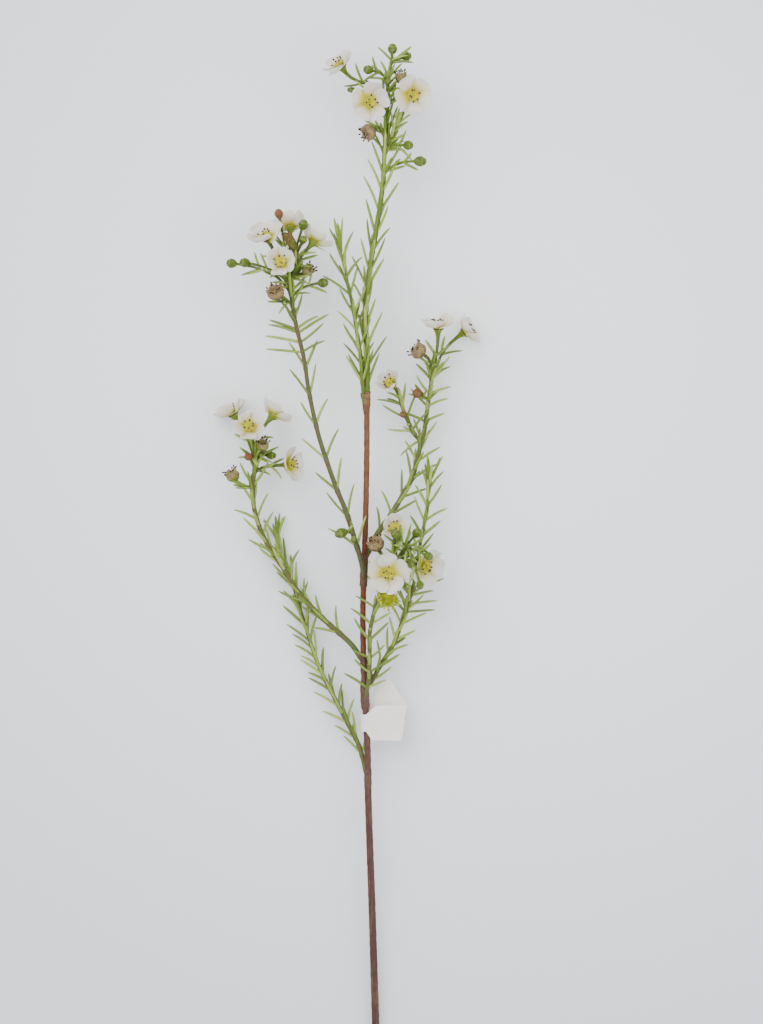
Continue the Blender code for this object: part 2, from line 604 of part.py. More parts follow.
def make_centre(name, middle, direction, turn, collection):
    """The yellow cup in the middle of a bloom, with stamens round its rim."""
    foot = at(middle) + Vector(direction).normalized() * (HUB_THICKNESS / 2 + GAP) * MM
    cup = body_from(cone(CUP_FOOT, CUP_RIM, CUP_HEIGHT, 8), name, collection)
    lean = Matrix.Rotation(math.radians(STAMEN_LEAN), 4, "Y")
    stamens = []
    for number in range(STAMENS):
        bm = club(STAMEN_LENGTH, *STAMEN_RADII)
        bm.transform(Matrix.Rotation(math.tau * number / STAMENS, 4, "Z")
                     @ Matrix.Translation(Vector((STAMEN_CIRCLE, 0, CUP_HEIGHT - STAMEN_SUNK)) * MM) @ lean)
        stamens.append(body_from(bm, name + "_stamen", collection))
    join_bodies(cup, stamens)
    cup.data.transform(facing(foot, direction, math.radians(turn)))
    finish_node(cup, name + "_centre", "centre_yellow")
    return cup


def make_head(name, foot, direction, width, length, look, collection):
    """A cup that has lost its petals, with stamens still standing in it."""
    cup = body_from(cone(HEAD_FOOT, width / 2, length, 10, HEAD_LOBES), name, collection)
    root = Vector((width * HEAD_STAMEN_CIRCLE, 0, length * HEAD_STAMEN_LEVEL)) * MM
    lean = Matrix.Rotation(math.radians(HEAD_STAMEN_LEAN), 4, "Y")
    stamens = []
    for number in range(HEAD_STAMENS):
        bm = club(HEAD_STAMEN_LENGTH, *HEAD_STAMEN_RADII)
        bm.transform(Matrix.Rotation(math.tau * number / HEAD_STAMENS, 4, "Z")
                     @ Matrix.Translation(root) @ lean)
        stamens.append(body_from(bm, name + "_stamen", collection))
    join_bodies(cup, stamens)
    start = at(foot) + Vector(direction).normalized() * GAP * MM
    cup.data.transform(facing(start, direction))
    finish_node(cup, name, look)
    return cup


def make_label(route, collection):
    """Folded label: front leaf, back leaf and the neck that wraps the stem."""
    centre = at(LABEL_AXIS)
    middle_radius = LABEL_WRAP_INNER + LABEL_THICKNESS / 2
    bodies = []
    for name, outline, side in (("front", LABEL_FRONT, 1), ("back", LABEL_BACK, -1)):
        flat = bpy.data.curves.new("label_" + name, "CURVE")
        flat.dimensions = "2D"
        flat.fill_mode = "BOTH"
        flat.extrude = LABEL_THICKNESS / 2 * MM
        spline = flat.splines.new("POLY")
        spline.points.add(len(outline) - 1)
        spline.use_cyclic_u = True
        for node, (x, y) in zip(spline.points, outline):
            node.co = (*at((x, y, 0))[:2], 0.0, 1.0)
        drawn = add_object("label_" + name, flat, collection)
        depsgraph = bpy.context.evaluated_depsgraph_get()
        mesh = bpy.data.meshes.new_from_object(drawn.evaluated_get(depsgraph))
        bpy.data.objects.remove(drawn)
        bm = bmesh.new()
        bm.from_mesh(mesh)
        bmesh.ops.remove_doubles(bm, verts=bm.verts[:], dist=0.001 * MM)
        bmesh.ops.translate(bm, verts=bm.verts[:], vec=(0, 0, centre.z + side * middle_radius * MM))
        bodies.append(body_from(bm, "label_" + name, collection))
    bm = bmesh.new()
    bmesh.ops.create_cube(bm, size=1.0)
    ends = [f for f in bm.faces if abs(f.normal.x) < 0.5 and f.normal.z > 0.5]
    bmesh.ops.delete(bm, geom=[f for f in bm.faces if f not in ends], context="FACES")
    section = bm.faces[:]
    for vert in bm.verts:
        across = vert.co.x
        vert.co = Vector((across * LABEL_THICKNESS * MM + middle_radius * MM,
                          vert.co.y * LABEL_NECK * MM, 0.0))
    bmesh.ops.rotate(bm, verts=bm.verts[:], cent=(0, 0, 0), matrix=Matrix.Rotation(math.radians(-90), 3, "Y"))
    bmesh.ops.spin(bm, geom=section + bm.edges[:] + bm.verts[:], cent=(0, 0, 0), axis=(0, -1, 0),
                   angle=math.pi, steps=LABEL_WRAP_STEPS, use_duplicate=False)
    bm.transform(Matrix.Translation(centre))
    wrap = body_from(bm, "label_wrap", collection)
    join_bodies(wrap, bodies)
    finish_node(wrap, "label", "label_paper")
    return wrap


def fixed_parts(objects):
    """One search tree for the surfaces of some objects."""
    verts = []
    faces = []
    for obj in objects:
        first = len(verts)
        verts.extend(v.co.copy() for v in obj.data.vertices)
        faces.extend([first + i for i in f.vertices] for f in obj.data.polygons)
    return BVHTree.FromPolygons(verts, faces)


class NeedlePlacer:
    """Sets needles round a spray where they stay clear of all other nodes."""

    def __init__(self, others, own, taken):
        self.others = fixed_parts(others)
        self.own = fixed_parts(own)
        self.taken = KDTree(max(1, len(taken)))
        for index, point in enumerate(taken):
            self.taken.insert(point, index)
        self.taken.balance()
        self.used = []

    def line(self, root, aim, sweep, length, bend):
        return [root + aim * (length * t * MM) + sweep * (bend * t * t * MM)
                for t in NEEDLE_MARKS]

    def clear(self, points):
        for number, point in enumerate(points):
            if point.z < (NEEDLE_LOWEST + SHIFT.z) * MM:
                return False
            half = NEEDLE_HALF_WIDE if number < NEEDLE_WIDE_MARKS else NEEDLE_HALF_TIP
            reach = NEEDLE_CLEARANCE + half
            if self.others.find_nearest(point, reach * MM)[0] is not None:
                return False
            off_stem = number >= NEEDLE_FREE_MARK
            if off_stem and self.own.find_nearest(point, OWN_CLEARANCE * MM)[0] is not None:
                return False
            if self.taken.find_range(point, (NEEDLE_WIDTH + NEEDLE_BETWEEN) * MM):
                return False
        return True

    def place(self, centre, along, turn, length, slant, bend):
        """The first clear position near the wished one, or nothing."""
        side = along.cross(Vector((0, 0, 1))).normalized()
        up = side.cross(along)
        for slant_more in SLANT_TRIES:
            for turn_more in TURN_TRIES:
                angle = math.radians(turn + turn_more)
                out = side * math.cos(angle) + up * math.sin(angle)
                tilt = math.radians(slant + slant_more)
                aim = along * math.cos(tilt) + out * math.sin(tilt)
                across = along.cross(out).normalized()
                sweep = aim.cross(across)
                points = self.line(centre, aim, sweep, length, bend)
                if self.clear(points):
                    self.used.extend(points[1:])
                    return Matrix.Translation(centre) @ Matrix((across, sweep, aim)).transposed().to_4x4()
        return None


def make_needles(name, spray, route, placer, chance, collection):
    """Opposite pairs, each turned a quarter from the last, and a tuft at the tip."""
    needles = []
    distance = spray["bare"] * MM
    number = 0
    while distance < route.length - 1.0 * MM:
        centre, along = route.place(distance)
        base_turn = 90 * (number % 2) + chance.uniform(-NEEDLE_TURN, NEEDLE_TURN)
        near_tip = (route.length - distance) < TUFT_REACH * MM
        for side in (0, 180):
            length = chance.uniform(*NEEDLE_LENGTH) * (TUFT_LENGTH if near_tip else 1.0)
            slant = chance.uniform(*NEEDLE_ANGLE) * (TUFT_SLANT if near_tip else 1.0)
            bend = chance.uniform(*NEEDLE_BEND)
            placing = placer.place(centre, along, base_turn + side, length, slant, bend)
            if placing is None:
                continue
            bm = blade(length, NEEDLE_WIDTH, NEEDLE_THICKNESS, bend)
            bm.transform(placing)
            needles.append(body_from(bm, name + "_needle", collection))
        distance += spray["pitch"] * NEEDLE_SPREAD * MM * chance.uniform(*NEEDLE_UNEVEN)
        number += 1
    return needles


def main():
    clear_scene()
    chance = random.Random(SEED)
    part = bpy.data.collections.new("waxflower_stem")
    bpy.context.scene.collection.children.link(part)

    routes = {name: Route(spray["route"], SPRAY_STEP) for name, spray in SPRAYS.items()}
    stem_route = Route(STEM_ROUTE, STEM_STEP)
    stem_points = [stem_route.place(s)[0] for s in stem_route.stations]
    stem_radii = [stem_radius(p.y / MM - SHIFT.y) for p in stem_points]
    stem = tube("main_stem", stem_points, stem_radii, 8, part)
    wraps = []
    for low, high, radius in STEM_WRAPS:
        levels = [low, low + WRAP_TAPER, high - WRAP_TAPER, high]
        points = [point_at_level(stem_points, y) for y in levels]
        radii = [stem_radius(low) + WRAP_PROUD, radius, radius, stem_radius(high) + WRAP_PROUD]
        wraps.append(tube("wrap", points, radii, 8, part))
    join_bodies(stem, wraps)

    growth = {}
    stems = {}
    for name, spray in SPRAYS.items():
        growth[name] = [stem_tube(spray, routes[name], 0.0, name, 1.0, part)]
        stems[name] = name
    for name, (owner, points, (first, last)) in BRANCHES.items():
        routes[name] = Route(points, SPRAY_STEP)
        stems[name] = owner
        line = [routes[name].place(s)[0] for s in routes[name].stations]
        radii = [first + (last - first) * s / routes[name].length for s in routes[name].stations]
        growth[owner].append(tube(name, line, radii, 6, part))
    blooms = []
    for name, (owner, middle, direction, width, cup, turn) in BLOOMS.items():
        foot = bloom_base(middle, direction)
        route = routes[owner]
        sunk = foot + Vector(direction).normalized() * STALK_SUNK * MM
        growth[stems[owner]].append(add_stalk(name + "_stalk", route, sunk, direction, BLOOM_STALK, part))
        growth[stems[owner]].append(make_calyx(name + "_calyx", foot, direction, turn, part))
        blooms.append(make_petals(name, middle, direction, width, cup, turn, part))
        blooms.append(make_centre(name, middle, direction, turn, part))
    for name, (owner, foot, direction, width, length, look) in HEADS.items():
        base = at(foot) - Vector(direction).normalized() * SEAT * MM
        stalk = add_stalk(name + "_stalk", routes[owner], base, direction, HEAD_STALK, part)
        growth[stems[owner]].append(stalk)
        blooms.append(make_head(name, foot, direction, width, length, look, part))
    for owner, place, width, length in BUDS:
        growth[stems[owner]].extend(make_bud(owner, routes[owner], place, width, length, part))

    label = make_label(stem_route, part)
    collar_points = [at(p) for p in COLLAR_ROUTE]
    collar = tube("collar", collar_points, COLLAR_RADII, 8, part)
    for name, spray in SPRAYS.items():
        socket = stem_tube(spray, routes[name], GAP, name + "_socket", SOCKET_REACH * MM, part)
        cut_from(collar if name in ("tall_spray", "twin_spray") else stem, socket)
    stem_end = [s for s in stem_route.stations if s > stem_route.length - SOCKET_REACH * MM]
    end_points = [stem_route.place(s)[0] for s in stem_end]
    end_points[-1] = end_points[-1] + stem_route.place(stem_route.length)[1] * GAP * MM
    cut_from(collar, tube("stem_end", end_points, [stem_radii[-1] + GAP] * len(end_points), 8, part))
    finish_node(stem, "main_stem", "stem_tape")
    finish_node(collar, "collar", "collar_tape")

    fixed = {"stem": [stem, collar, label] + blooms}
    fixed.update(growth)
    taken = []
    for name, spray in SPRAYS.items():
        others = [obj for owner, parts in fixed.items() if owner != name for obj in parts]
        placer = NeedlePlacer(others, growth[name], taken)
        needles = make_needles(name, spray, routes[name], placer, chance, part)
        taken.extend(placer.used)
        growth[name].extend(needles)
    for name, bodies in growth.items():
        join_bodies(bodies[0], bodies[1:])
        finish_node(bodies[0], name, "spray_green")


def point_at_level(points, level):
    """The point where a line of points passes a given Y, in millimetres."""
    y = (level + SHIFT.y) * MM
    for a, b in zip(points, points[1:]):
        if a.y <= y <= b.y:
            return a.lerp(b, (y - a.y) / (b.y - a.y))
    return points[-1].copy()


main()
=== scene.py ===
"""Looks of an artificial waxflower stem that lies on a pale surface: taped wire, moulded
green sprays with needles and buds, cloth-like petals, stamens, spent heads and a label.

Places and sizes are millimetres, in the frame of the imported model."""
import math
import random

import bpy
import numpy as np
from mathutils import Matrix, Vector
from mathutils.bvhtree import BVHTree
from mathutils.kdtree import KDTree


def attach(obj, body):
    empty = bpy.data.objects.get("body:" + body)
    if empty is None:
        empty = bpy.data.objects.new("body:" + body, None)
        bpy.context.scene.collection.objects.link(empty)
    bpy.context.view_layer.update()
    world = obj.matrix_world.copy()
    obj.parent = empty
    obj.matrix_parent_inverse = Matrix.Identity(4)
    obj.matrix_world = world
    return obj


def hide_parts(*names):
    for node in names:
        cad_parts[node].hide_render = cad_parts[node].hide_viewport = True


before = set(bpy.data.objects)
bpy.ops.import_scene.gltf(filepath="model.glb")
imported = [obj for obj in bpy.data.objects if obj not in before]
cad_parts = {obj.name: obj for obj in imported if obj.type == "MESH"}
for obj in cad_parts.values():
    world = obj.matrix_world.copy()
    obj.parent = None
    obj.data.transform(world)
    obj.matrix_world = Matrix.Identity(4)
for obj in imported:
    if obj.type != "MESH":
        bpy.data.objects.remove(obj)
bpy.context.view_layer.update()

MM = 0.001
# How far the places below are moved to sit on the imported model.
SHIFT = Vector((4.8, -0.2, -0.05))
chance = random.Random(11)

# Main stem: its route, its radius at levels along Y, and the tape that winds up it.
STEM_ROUTE = [
    (16.0, -355.0, 2.7), (15.0, -311.0, 5.4), (12.5, -230.0, 10.5), (10.0, -158.5, 15.0),
    (9.5, -124.5, 17.0), (7.5, -83.5, 19.5), (6.5, -49.5, 22.0), (6.5, -22.5, 23.5),
    (8.0, 25.0, 26.5), (9.0, 73.0, 29.5), (9.0, 108.5, 31.8),
]
STEM_RADII = [(-355.0, 2.65), (-158.0, 2.4), (-60.0, 2.0), (108.5, 2.0)]
STEM_SIDES = 20
STEM_STEP = 1.2
STEM_CUT = 0.96
STEM_WOBBLE = 0.05
TAPE_PITCH = 11.0
TAPE_EDGE = 0.16
# Stretches along Y where more turns of tape bind a spray's foot, and the added thickness.
WRAPS = [(-97.0, -77.0, 0.95), (-14.0, 8.0, 0.75), (-151.0, -137.0, 0.3), (-73.0, -60.0, 0.35)]
WRAP_EASE = 1.6
WRAP_PITCH = 0.55
WRAP_EDGE = 2.0
# The feet of the sprays that the tape has to cover: how far up they are bound in, the tape
# over them, and how near to a ring of the stem they count.
FOOT_REACH = 36
TAPE_COVER = 0.35
BOUND_REACH = 3.4
BOUND_LEVEL = 0.6

# Spray stems: the peg at their foot, and the swollen, browner places where needles grow.
PEG_RADIUS = 1.0
PEG_LENGTH = 5.0
PEG_EASE = 0.6
SPRAY_STEP = 2.0
SPRAY_SIDES = 12
NODE_SWELL = 0.2
NODE_REACH = 1.9
NODE_BROWN = 0.5
NODE_LOWEST = 1.6

# Each spray: its stem's route, its radius at both ends and how green it is, 0 being brown.
SPRAYS = {
    "tall_spray": (
        [(8.9, 109.6, 32.0), (8.9, 118.5, 32.2), (9.0, 147.0, 33.0), (8.0, 164.5, 33.0),
         (9.0, 184.5, 34.0), (12.0, 209.0, 34.0), (15.5, 229.0, 35.0), (18.5, 247.5, 35.0),
         (20.5, 268.5, 36.0), (21.5, 290.5, 37.0), (23.0, 311.0, 37.0), (23.5, 329.0, 38.0),
         (26.0, 345.0, 39.0)], (2.2, 1.1), 1.0),
    "twin_spray": (
        [(6.9, 109.6, 34.6), (6.6, 119.0, 35.0), (5.6, 130.0, 36.0), (5.0, 141.0, 36.5),
         (1.5, 164.5, 37.0), (-1.5, 181.5, 38.0), (-5.0, 196.5, 39.0), (-8.5, 216.0, 39.5)],
        (1.4, 0.9), 0.8),
    "left_upper_spray": (
        [(7.2, -9.0, 25.6), (6.4, -1.5, 28.6), (4.8, 5.5, 30.5), (2.0, 15.0, 31.5),
         (-5.0, 37.5, 32.0), (-12.0, 54.5, 33.0), (-20.5, 79.0, 34.0), (-25.5, 96.5, 34.5),
         (-30.5, 120.5, 35.0), (-33.5, 141.0, 36.0), (-37.5, 158.0, 36.5),
         (-40.5, 172.0, 37.0), (-42.5, 188.0, 38.0), (-43.0, 202.0, 38.0)], (1.9, 1.2), 0.15),
    "left_mid_spray": (
        [(6.9, -69.0, 20.2), (4.6, -62.0, 18.4), (-0.5, -54.0, 17.6), (-7.0, -47.5, 18.0),
         (-19.5, -36.5, 18.0), (-31.5, -24.5, 18.0), (-40.0, -13.5, 18.0), (-48.5, 0.0, 18.0),
         (-56.0, 11.0, 18.0), (-62.0, 22.0, 18.0), (-65.5, 31.5, 19.0), (-68.0, 42.0, 20.0),
         (-68.5, 54.5, 21.0), (-67.5, 66.0, 21.5), (-66.5, 77.0, 22.0)], (1.9, 1.3), 0.4),
    "lower_left_spray": (
        [(9.6, -147.5, 15.6), (8.0, -139.0, 14.2), (6.0, -130.0, 13.4), (3.5, -121.5, 13.0),
         (-1.5, -111.5, 12.5), (-12.5, -90.5, 11.0), (-23.5, -68.0, 10.0), (-31.5, -45.0, 9.0),
         (-39.5, -18.5, 8.5), (-44.5, -2.0, 8.0), (-49.0, 8.0, 8.0), (-52.0, 19.0, 8.0)],
        (1.6, 0.9), 0.5),
    "right_upper_spray": (
        [(8.0, 2.5, 24.6), (11.0, 12.0, 22.6), (14.5, 20.0, 21.8), (24.0, 33.5, 21.0),
         (31.5, 45.5, 20.0), (39.0, 58.5, 19.5), (42.5, 69.5, 19.0), (45.0, 80.0, 18.5),
         (48.0, 91.0, 18.0), (49.5, 102.0, 18.0), (51.0, 113.0, 17.5), (52.5, 123.0, 17.0),
         (54.5, 134.5, 17.0)], (1.9, 1.2), 0.55),
    "centre_spray": (
        [(8.0, -90.5, 20.6), (9.0, -83.5, 23.4), (10.6, -75.0, 24.8), (11.0, -58.5, 25.5),
         (11.0, -46.0, 26.5), (13.0, -34.5, 28.0), (16.5, -22.5, 30.0), (19.5, -13.0, 32.0),
         (24.0, -4.0, 34.0), (28.0, 3.5, 34.5), (32.0, 9.0, 35.0)], (1.45, 1.1), 0.6),
    "right_spray": (
        [(8.6, -86.0, 19.0), (11.8, -79.0, 19.8), (16.0, -71.5, 21.0), (23.5, -58.5, 22.5),
         (28.0, -51.0, 23.0), (33.5, -36.5, 23.0), (37.5, -24.0, 22.5), (40.0, -15.5, 22.0),
         (42.0, -7.0, 22.0), (45.0, 13.5, 23.0), (47.5, 26.0, 24.0), (49.5, 36.0, 24.0),
         (50.5, 47.0, 25.0), (52.0, 59.0, 26.0)], (1.45, 0.9), 0.6),
}

# Side branches: the spray that each grows from, its route and its radius at both ends.
BRANCHES = {
    "tall_side_branch": (
        "tall_spray", [(20.8, 279.0, 36.5), (23.0, 286.0, 38.0), (26.5, 293.5, 39.5),
                       (29.5, 300.5, 40.5)], (1.3, 0.9)),
    "right_side_branch": (
        "right_upper_spray", [(46.5, 83.5, 18.4), (41.1, 91.1, 20.0), (37.4, 98.6, 22.0),
                              (34.7, 104.7, 23.5), (32.0, 112.0, 24.5)], (1.5, 1.1)),
    "centre_front_branch": (
        "centre_spray", [(31.0, 8.0, 35.0), (34.0, 11.5, 42.0), (36.0, 13.5, 50.0),
                         (38.0, 14.0, 55.0)], (1.2, 1.0)),
    "left_top_branch": (
        "left_upper_spray", [(-42.8, 192.0, 38.0), (-45.5, 200.0, 44.0), (-46.5, 206.0, 47.0)],
        (1.4, 1.1)),
}

# How the needles grow on a stretch of stem: where it starts and ends, the spacing of the
# pairs, their lengths, their slants to the stem, and whether pairs turn a quarter each time.
NEEDLES = {
    "tall_spray": [(12, 205, 6.6, (20, 27), (15, 29), True),
                   (207, 230, 8.0, (11, 16), (35, 60), True)],
    "tall_side_branch": [(3, 999, 3.6, (10, 15), (28, 55), True)],
    "twin_spray": [(16, 999, 6.0, (17, 23), (24, 36), True)],
    "left_upper_spray": [(24, 160, 22.0, (19, 24), (20, 32), False),
                         (162, 176, 6.0, (19, 25), (50, 75), False),
                         (178, 999, 4.6, (15, 22), (25, 60), True)],
    "left_mid_spray": [(30, 95, 8.0, (16, 21), (20, 36), True),
                       (98, 999, 5.8, (14, 20), (20, 40), True)],
    "lower_left_spray": [(20, 999, 6.0, (16, 21), (18, 32), True)],
    "right_upper_spray": [(24, 100, 7.0, (16, 21), (24, 46), True),
                          (102, 999, 5.0, (14, 21), (40, 70), True)],
    "right_side_branch": [(3, 999, 4.5, (14, 22), (55, 80), True)],
    "centre_spray": [(9, 999, 5.6, (13, 19), (40, 70), True)],
    "right_spray": [(10, 999, 5.0, (14, 19), (26, 48), True),
                    (62, 100, 6.0, (15, 22), (50, 80), False)],
}
TUFTED = ("tall_side_branch", "twin_spray", "lower_left_spray", "right_spray")

# A needle: its outline on a unit length, its size and bend, and how clear it stays of others.
NEEDLE_OUTLINE = [(0.34, 0.0), (0.44, 0.05), (0.5, 0.18), (0.5, 0.45), (0.47, 0.7), (0.36, 0.88),
                  (0.12, 1.0)]
NEEDLE_SIDES = 6
NEEDLE_WIDTH = (1.9, 2.4)
NEEDLE_FLATNESS = 0.85
NEEDLE_BENDS = (-1.8, -0.8, 0.0, 1.0)
NEEDLE_LOWEST = 0.9
NEEDLE_CLEAR = 1.4
NEEDLE_APART = 1.7
NEEDLE_MARKS = (0.25, 0.4, 0.55, 0.7, 0.85, 1.0)
SLANT_TRIES = (0, 12, -8)
TURN_TRIES = (0, 20, -20, 40, -40)
# How unevenly the pairs are spaced, and how far a pair and each needle of it turn at random.
PAIR_UNEVEN = (0.85, 1.15)
PAIR_TURN = 14
SIDE_TURN = 10
# Needles lie closer to the stem near its tip, and some tips end in a tuft.
TIP_REACH = 14
TIP_SLANTS = (0.6, 0.7)
TUFT_TURNS = (20, 110)
TUFT_SLANTS = (8, 24)

# Side stalks: how they leave the stem and reach a foot, how thick they are, and the small
# needles on those that aren't short.
STALK_LEAD = 0.55
STALK_OUT = 0.4
STALK_IN = 0.35
STALK_STEPS = 7
STALK_SIDES = 8
STALK_ENDS = 1.3
STALK_WAIST = 0.4
BLOOM_STALK = 1.05
HEAD_STALK = 1.1
BUD_STALK = 0.85
STALK_NEEDLES = (9, 15)
STALK_SLANTS = (26, 48)
STALK_TURN = 25
STALK_SHORT = 9
STALK_LONG = 18
STALK_MARKS = (0.25, 0.5)
STALK_LONG_MARKS = (0.2, 0.4, 0.62)

# Blooms: what carries it, the middle of its petals, the way it faces, its diameter, how far
# its petal tips rise and the turn of its petals in degrees.
BLOOMS = {
    "bloom_01": ("tall_spray", (-8.5, 340.0, 42.0), (-0.55, 0.75, 0.35), 26.0, 3.5, 0),
    "bloom_02": ("tall_spray", (10.5, 315.5, 50.0), (0.25, -0.1, 0.95), 28.6, 2.0, 18),
    "bloom_03": ("tall_spray", (39.8, 320.3, 47.0), (0.25, -0.1, 0.95), 28.6, 2.0, 54),
    "bloom_04": ("left_upper_spray", (-58.5, 223.5, 44.0), (-0.35, 0.75, 0.55), 27.0, 4.0, 0),
    "bloom_05": ("left_upper_spray", (-49.3, 206.0, 58.0), (0.0, 0.25, 0.95), 23.0, 3.5, 20),
    "bloom_06": ("left_upper_spray", (-26.9, 221.0, 41.0), (0.5, 0.6, -0.3), 25.0, 4.0, 10),
    "bloom_07": ("left_upper_spray", (-43.0, 231.0, 30.0), (0.0, 0.8, -0.6), 24.0, 4.0, 0),
    "bloom_08": ("left_mid_spray", (-82.6, 104.7, 11.45), (-0.5, 0.8, 0.2), 26.0, 4.0, 0),
    "bloom_09": ("left_mid_spray", (-70.4, 95.2, 38.0), (0.0, 0.2, 0.95), 23.0, 4.0, 15),
    "bloom_10": ("left_mid_spray", (-54.7, 103.4, 20.0), (0.6, 0.7, -0.2), 26.0, 4.0, 0),
    "bloom_11": ("left_mid_spray", (-44.0, 70.0, 26.0), (0.75, 0.1, 0.6), 26.0, 3.5, 0),
    "bloom_12": ("right_upper_spray", (57.5, 163.0, 26.0), (0.0, 0.95, 0.3), 26.0, 3.5, 0),
    "bloom_13": ("right_upper_spray", (76.0, 160.5, 11.06), (0.75, 0.55, 0.2), 25.0, 3.5, 0),
    "bloom_14": ("right_side_branch", (25.5, 124.4, 31.0), (-0.4, 0.4, 0.8), 18.6, 5.0, 0),
    "bloom_15": ("centre_spray", (28.0, 26.0, 41.0), (0.1, 0.35, 0.9), 20.0, 3.5, 0),
    "bloom_16": ("centre_spray", (23.5, -4.0, 48.0), (0.0, -0.1, 1.0), 30.0, 1.5, 18),
    "bloom_17": ("centre_spray", (48.0, 0.5, 41.0), (0.6, -0.25, 0.75), 28.6, 2.0, 0),
}
CALYX_LENGTH = 6.0
CALYX_TURN = 36
HUB_THICKNESS = 1.0
HUB_PROFILE = [(1.6, 0.0), (2.3, 0.1), (2.4, 0.5), (2.3, 0.9), (1.6, 1.0)]
GAP = 0.3
SEAT = 0.35

# Petals: their root, breadth and thickness, and how far one may differ from the next.
PETALS = 5
PETAL_CUTS = 12
PETAL_ROOT = 1.2
PETAL_SPREAD = 0.68
PETAL_PAPER = 0.3
PETAL_SIZES = (0.94, 1.03)
PETAL_CURL = (-1.2, 2.2)
PETAL_RUFFLE = (0.3, 0.7)
PETAL_HOLLOW = (2.0, 3.4)
PETAL_SKEW = (-0.08, 0.08)
PETAL_TWIST = (7.0, 11.0)
PETAL_LIFT = (-17, 1)
PETAL_SHIFT = 0.12

# Stamens of a bloom: their length and thickness, where they stand and how they lean.
STAMENS = 7
STAMEN_SIZE = (4.4, 1.25)
STAMEN_FOOT = (3.1, 0, 1.4)
STAMEN_SHIFT = 0.35
STAMEN_LEAN = (-28, 30)
STAMEN_LENGTHS = (0.7, 1.0)

# Spent heads: what carries it, the foot of its cup, the way it opens, width, length, look.
HEADS = {
    "spent_head_01": ("tall_spray", (33.0, 327.0, 40.0), (-0.1, 1.0, 0.1), 8.0, 8.0, "cup_green"),
    "spent_head_02": ("tall_spray", (14.5, 297.5, 44.0), (-0.8, -0.45, 0.4), 11.0, 8.0, "spent_brown"),
    "spent_head_03": ("left_upper_spray", (-38.4, 213.0, 53.0),
                      (-0.45, 0.85, 0.1), 6.5, 15.0, "spent_olive"),
    "spent_head_04": ("left_upper_spray", (-34.0, 199.0, 44.0), (0.6, 0.45, 0.5), 8.0, 7.0, "cup_green"),
    "spent_head_05": ("left_upper_spray", (-51.5, 182.0, 45.0),
                      (-0.2, 0.75, 0.6), 11.5, 8.0, "spent_brown"),
    "spent_head_06": ("left_mid_spray", (-61.0, 79.0, 30.0), (-0.1, 0.8, 0.55), 8.0, 7.0, "cup_green"),
    "spent_head_07": ("left_mid_spray", (-79.5, 58.0, 25.0), (-0.5, 0.8, 0.3), 9.0, 8.0, "cup_green"),
    "spent_head_08": ("right_upper_spray", (48.5, 144.0, 25.0),
                      (-0.75, 0.55, 0.35), 11.0, 8.0, "spent_brown"),
    "spent_head_09": ("centre_spray", (17.5, 11.0, 38.0), (-0.35, 0.8, 0.5), 11.0, 9.0, "spent_brown"),
    "spent_head_10": ("centre_spray", (23.5, -20.8, 36.5), (0.0, -0.15, 1.0), 10.0, 6.0, "cup_green"),
}

# The outline of a spent head, in parts of half its width and of its length.
HEAD_FOOT = 1.1
HEAD_OUTLINE = [(0.30, 0.04), (0.58, 0.14), (0.82, 0.28), (0.96, 0.45), (1.0, 0.6), (0.93, 0.74),
                (0.90, 0.85), (1.0, 1.0), (0.86, 0.99), (0.66, 0.84), (0.42, 0.76), (0.16, 0.80),
                (0.10, 0.96)]
HEAD_SIDES = 30

# Heads that are still yellow-green, with their many thicker stamens spread out, and the
# stamens of the dry ones, by whether they are broad or narrow.
FRESH_HEADS = ("spent_head_10",)
FRESH_STAMENS = 26
FRESH_THICKNESS = 1.5
FRESH_LEAN = (15, 78)
BROAD_HEAD = 7
BROAD_STAMENS = 9
NARROW_STAMENS = 5
DRY_LEAN = (-20, 42)
HEAD_STAMEN_SIZE = (4.6, 1.0)
HEAD_STAMEN_FOOT = (0.27, 0.74)
HEAD_STAMEN_SHIFT = 0.4
HEAD_STAMEN_LENGTHS = (0.8, 1.3)

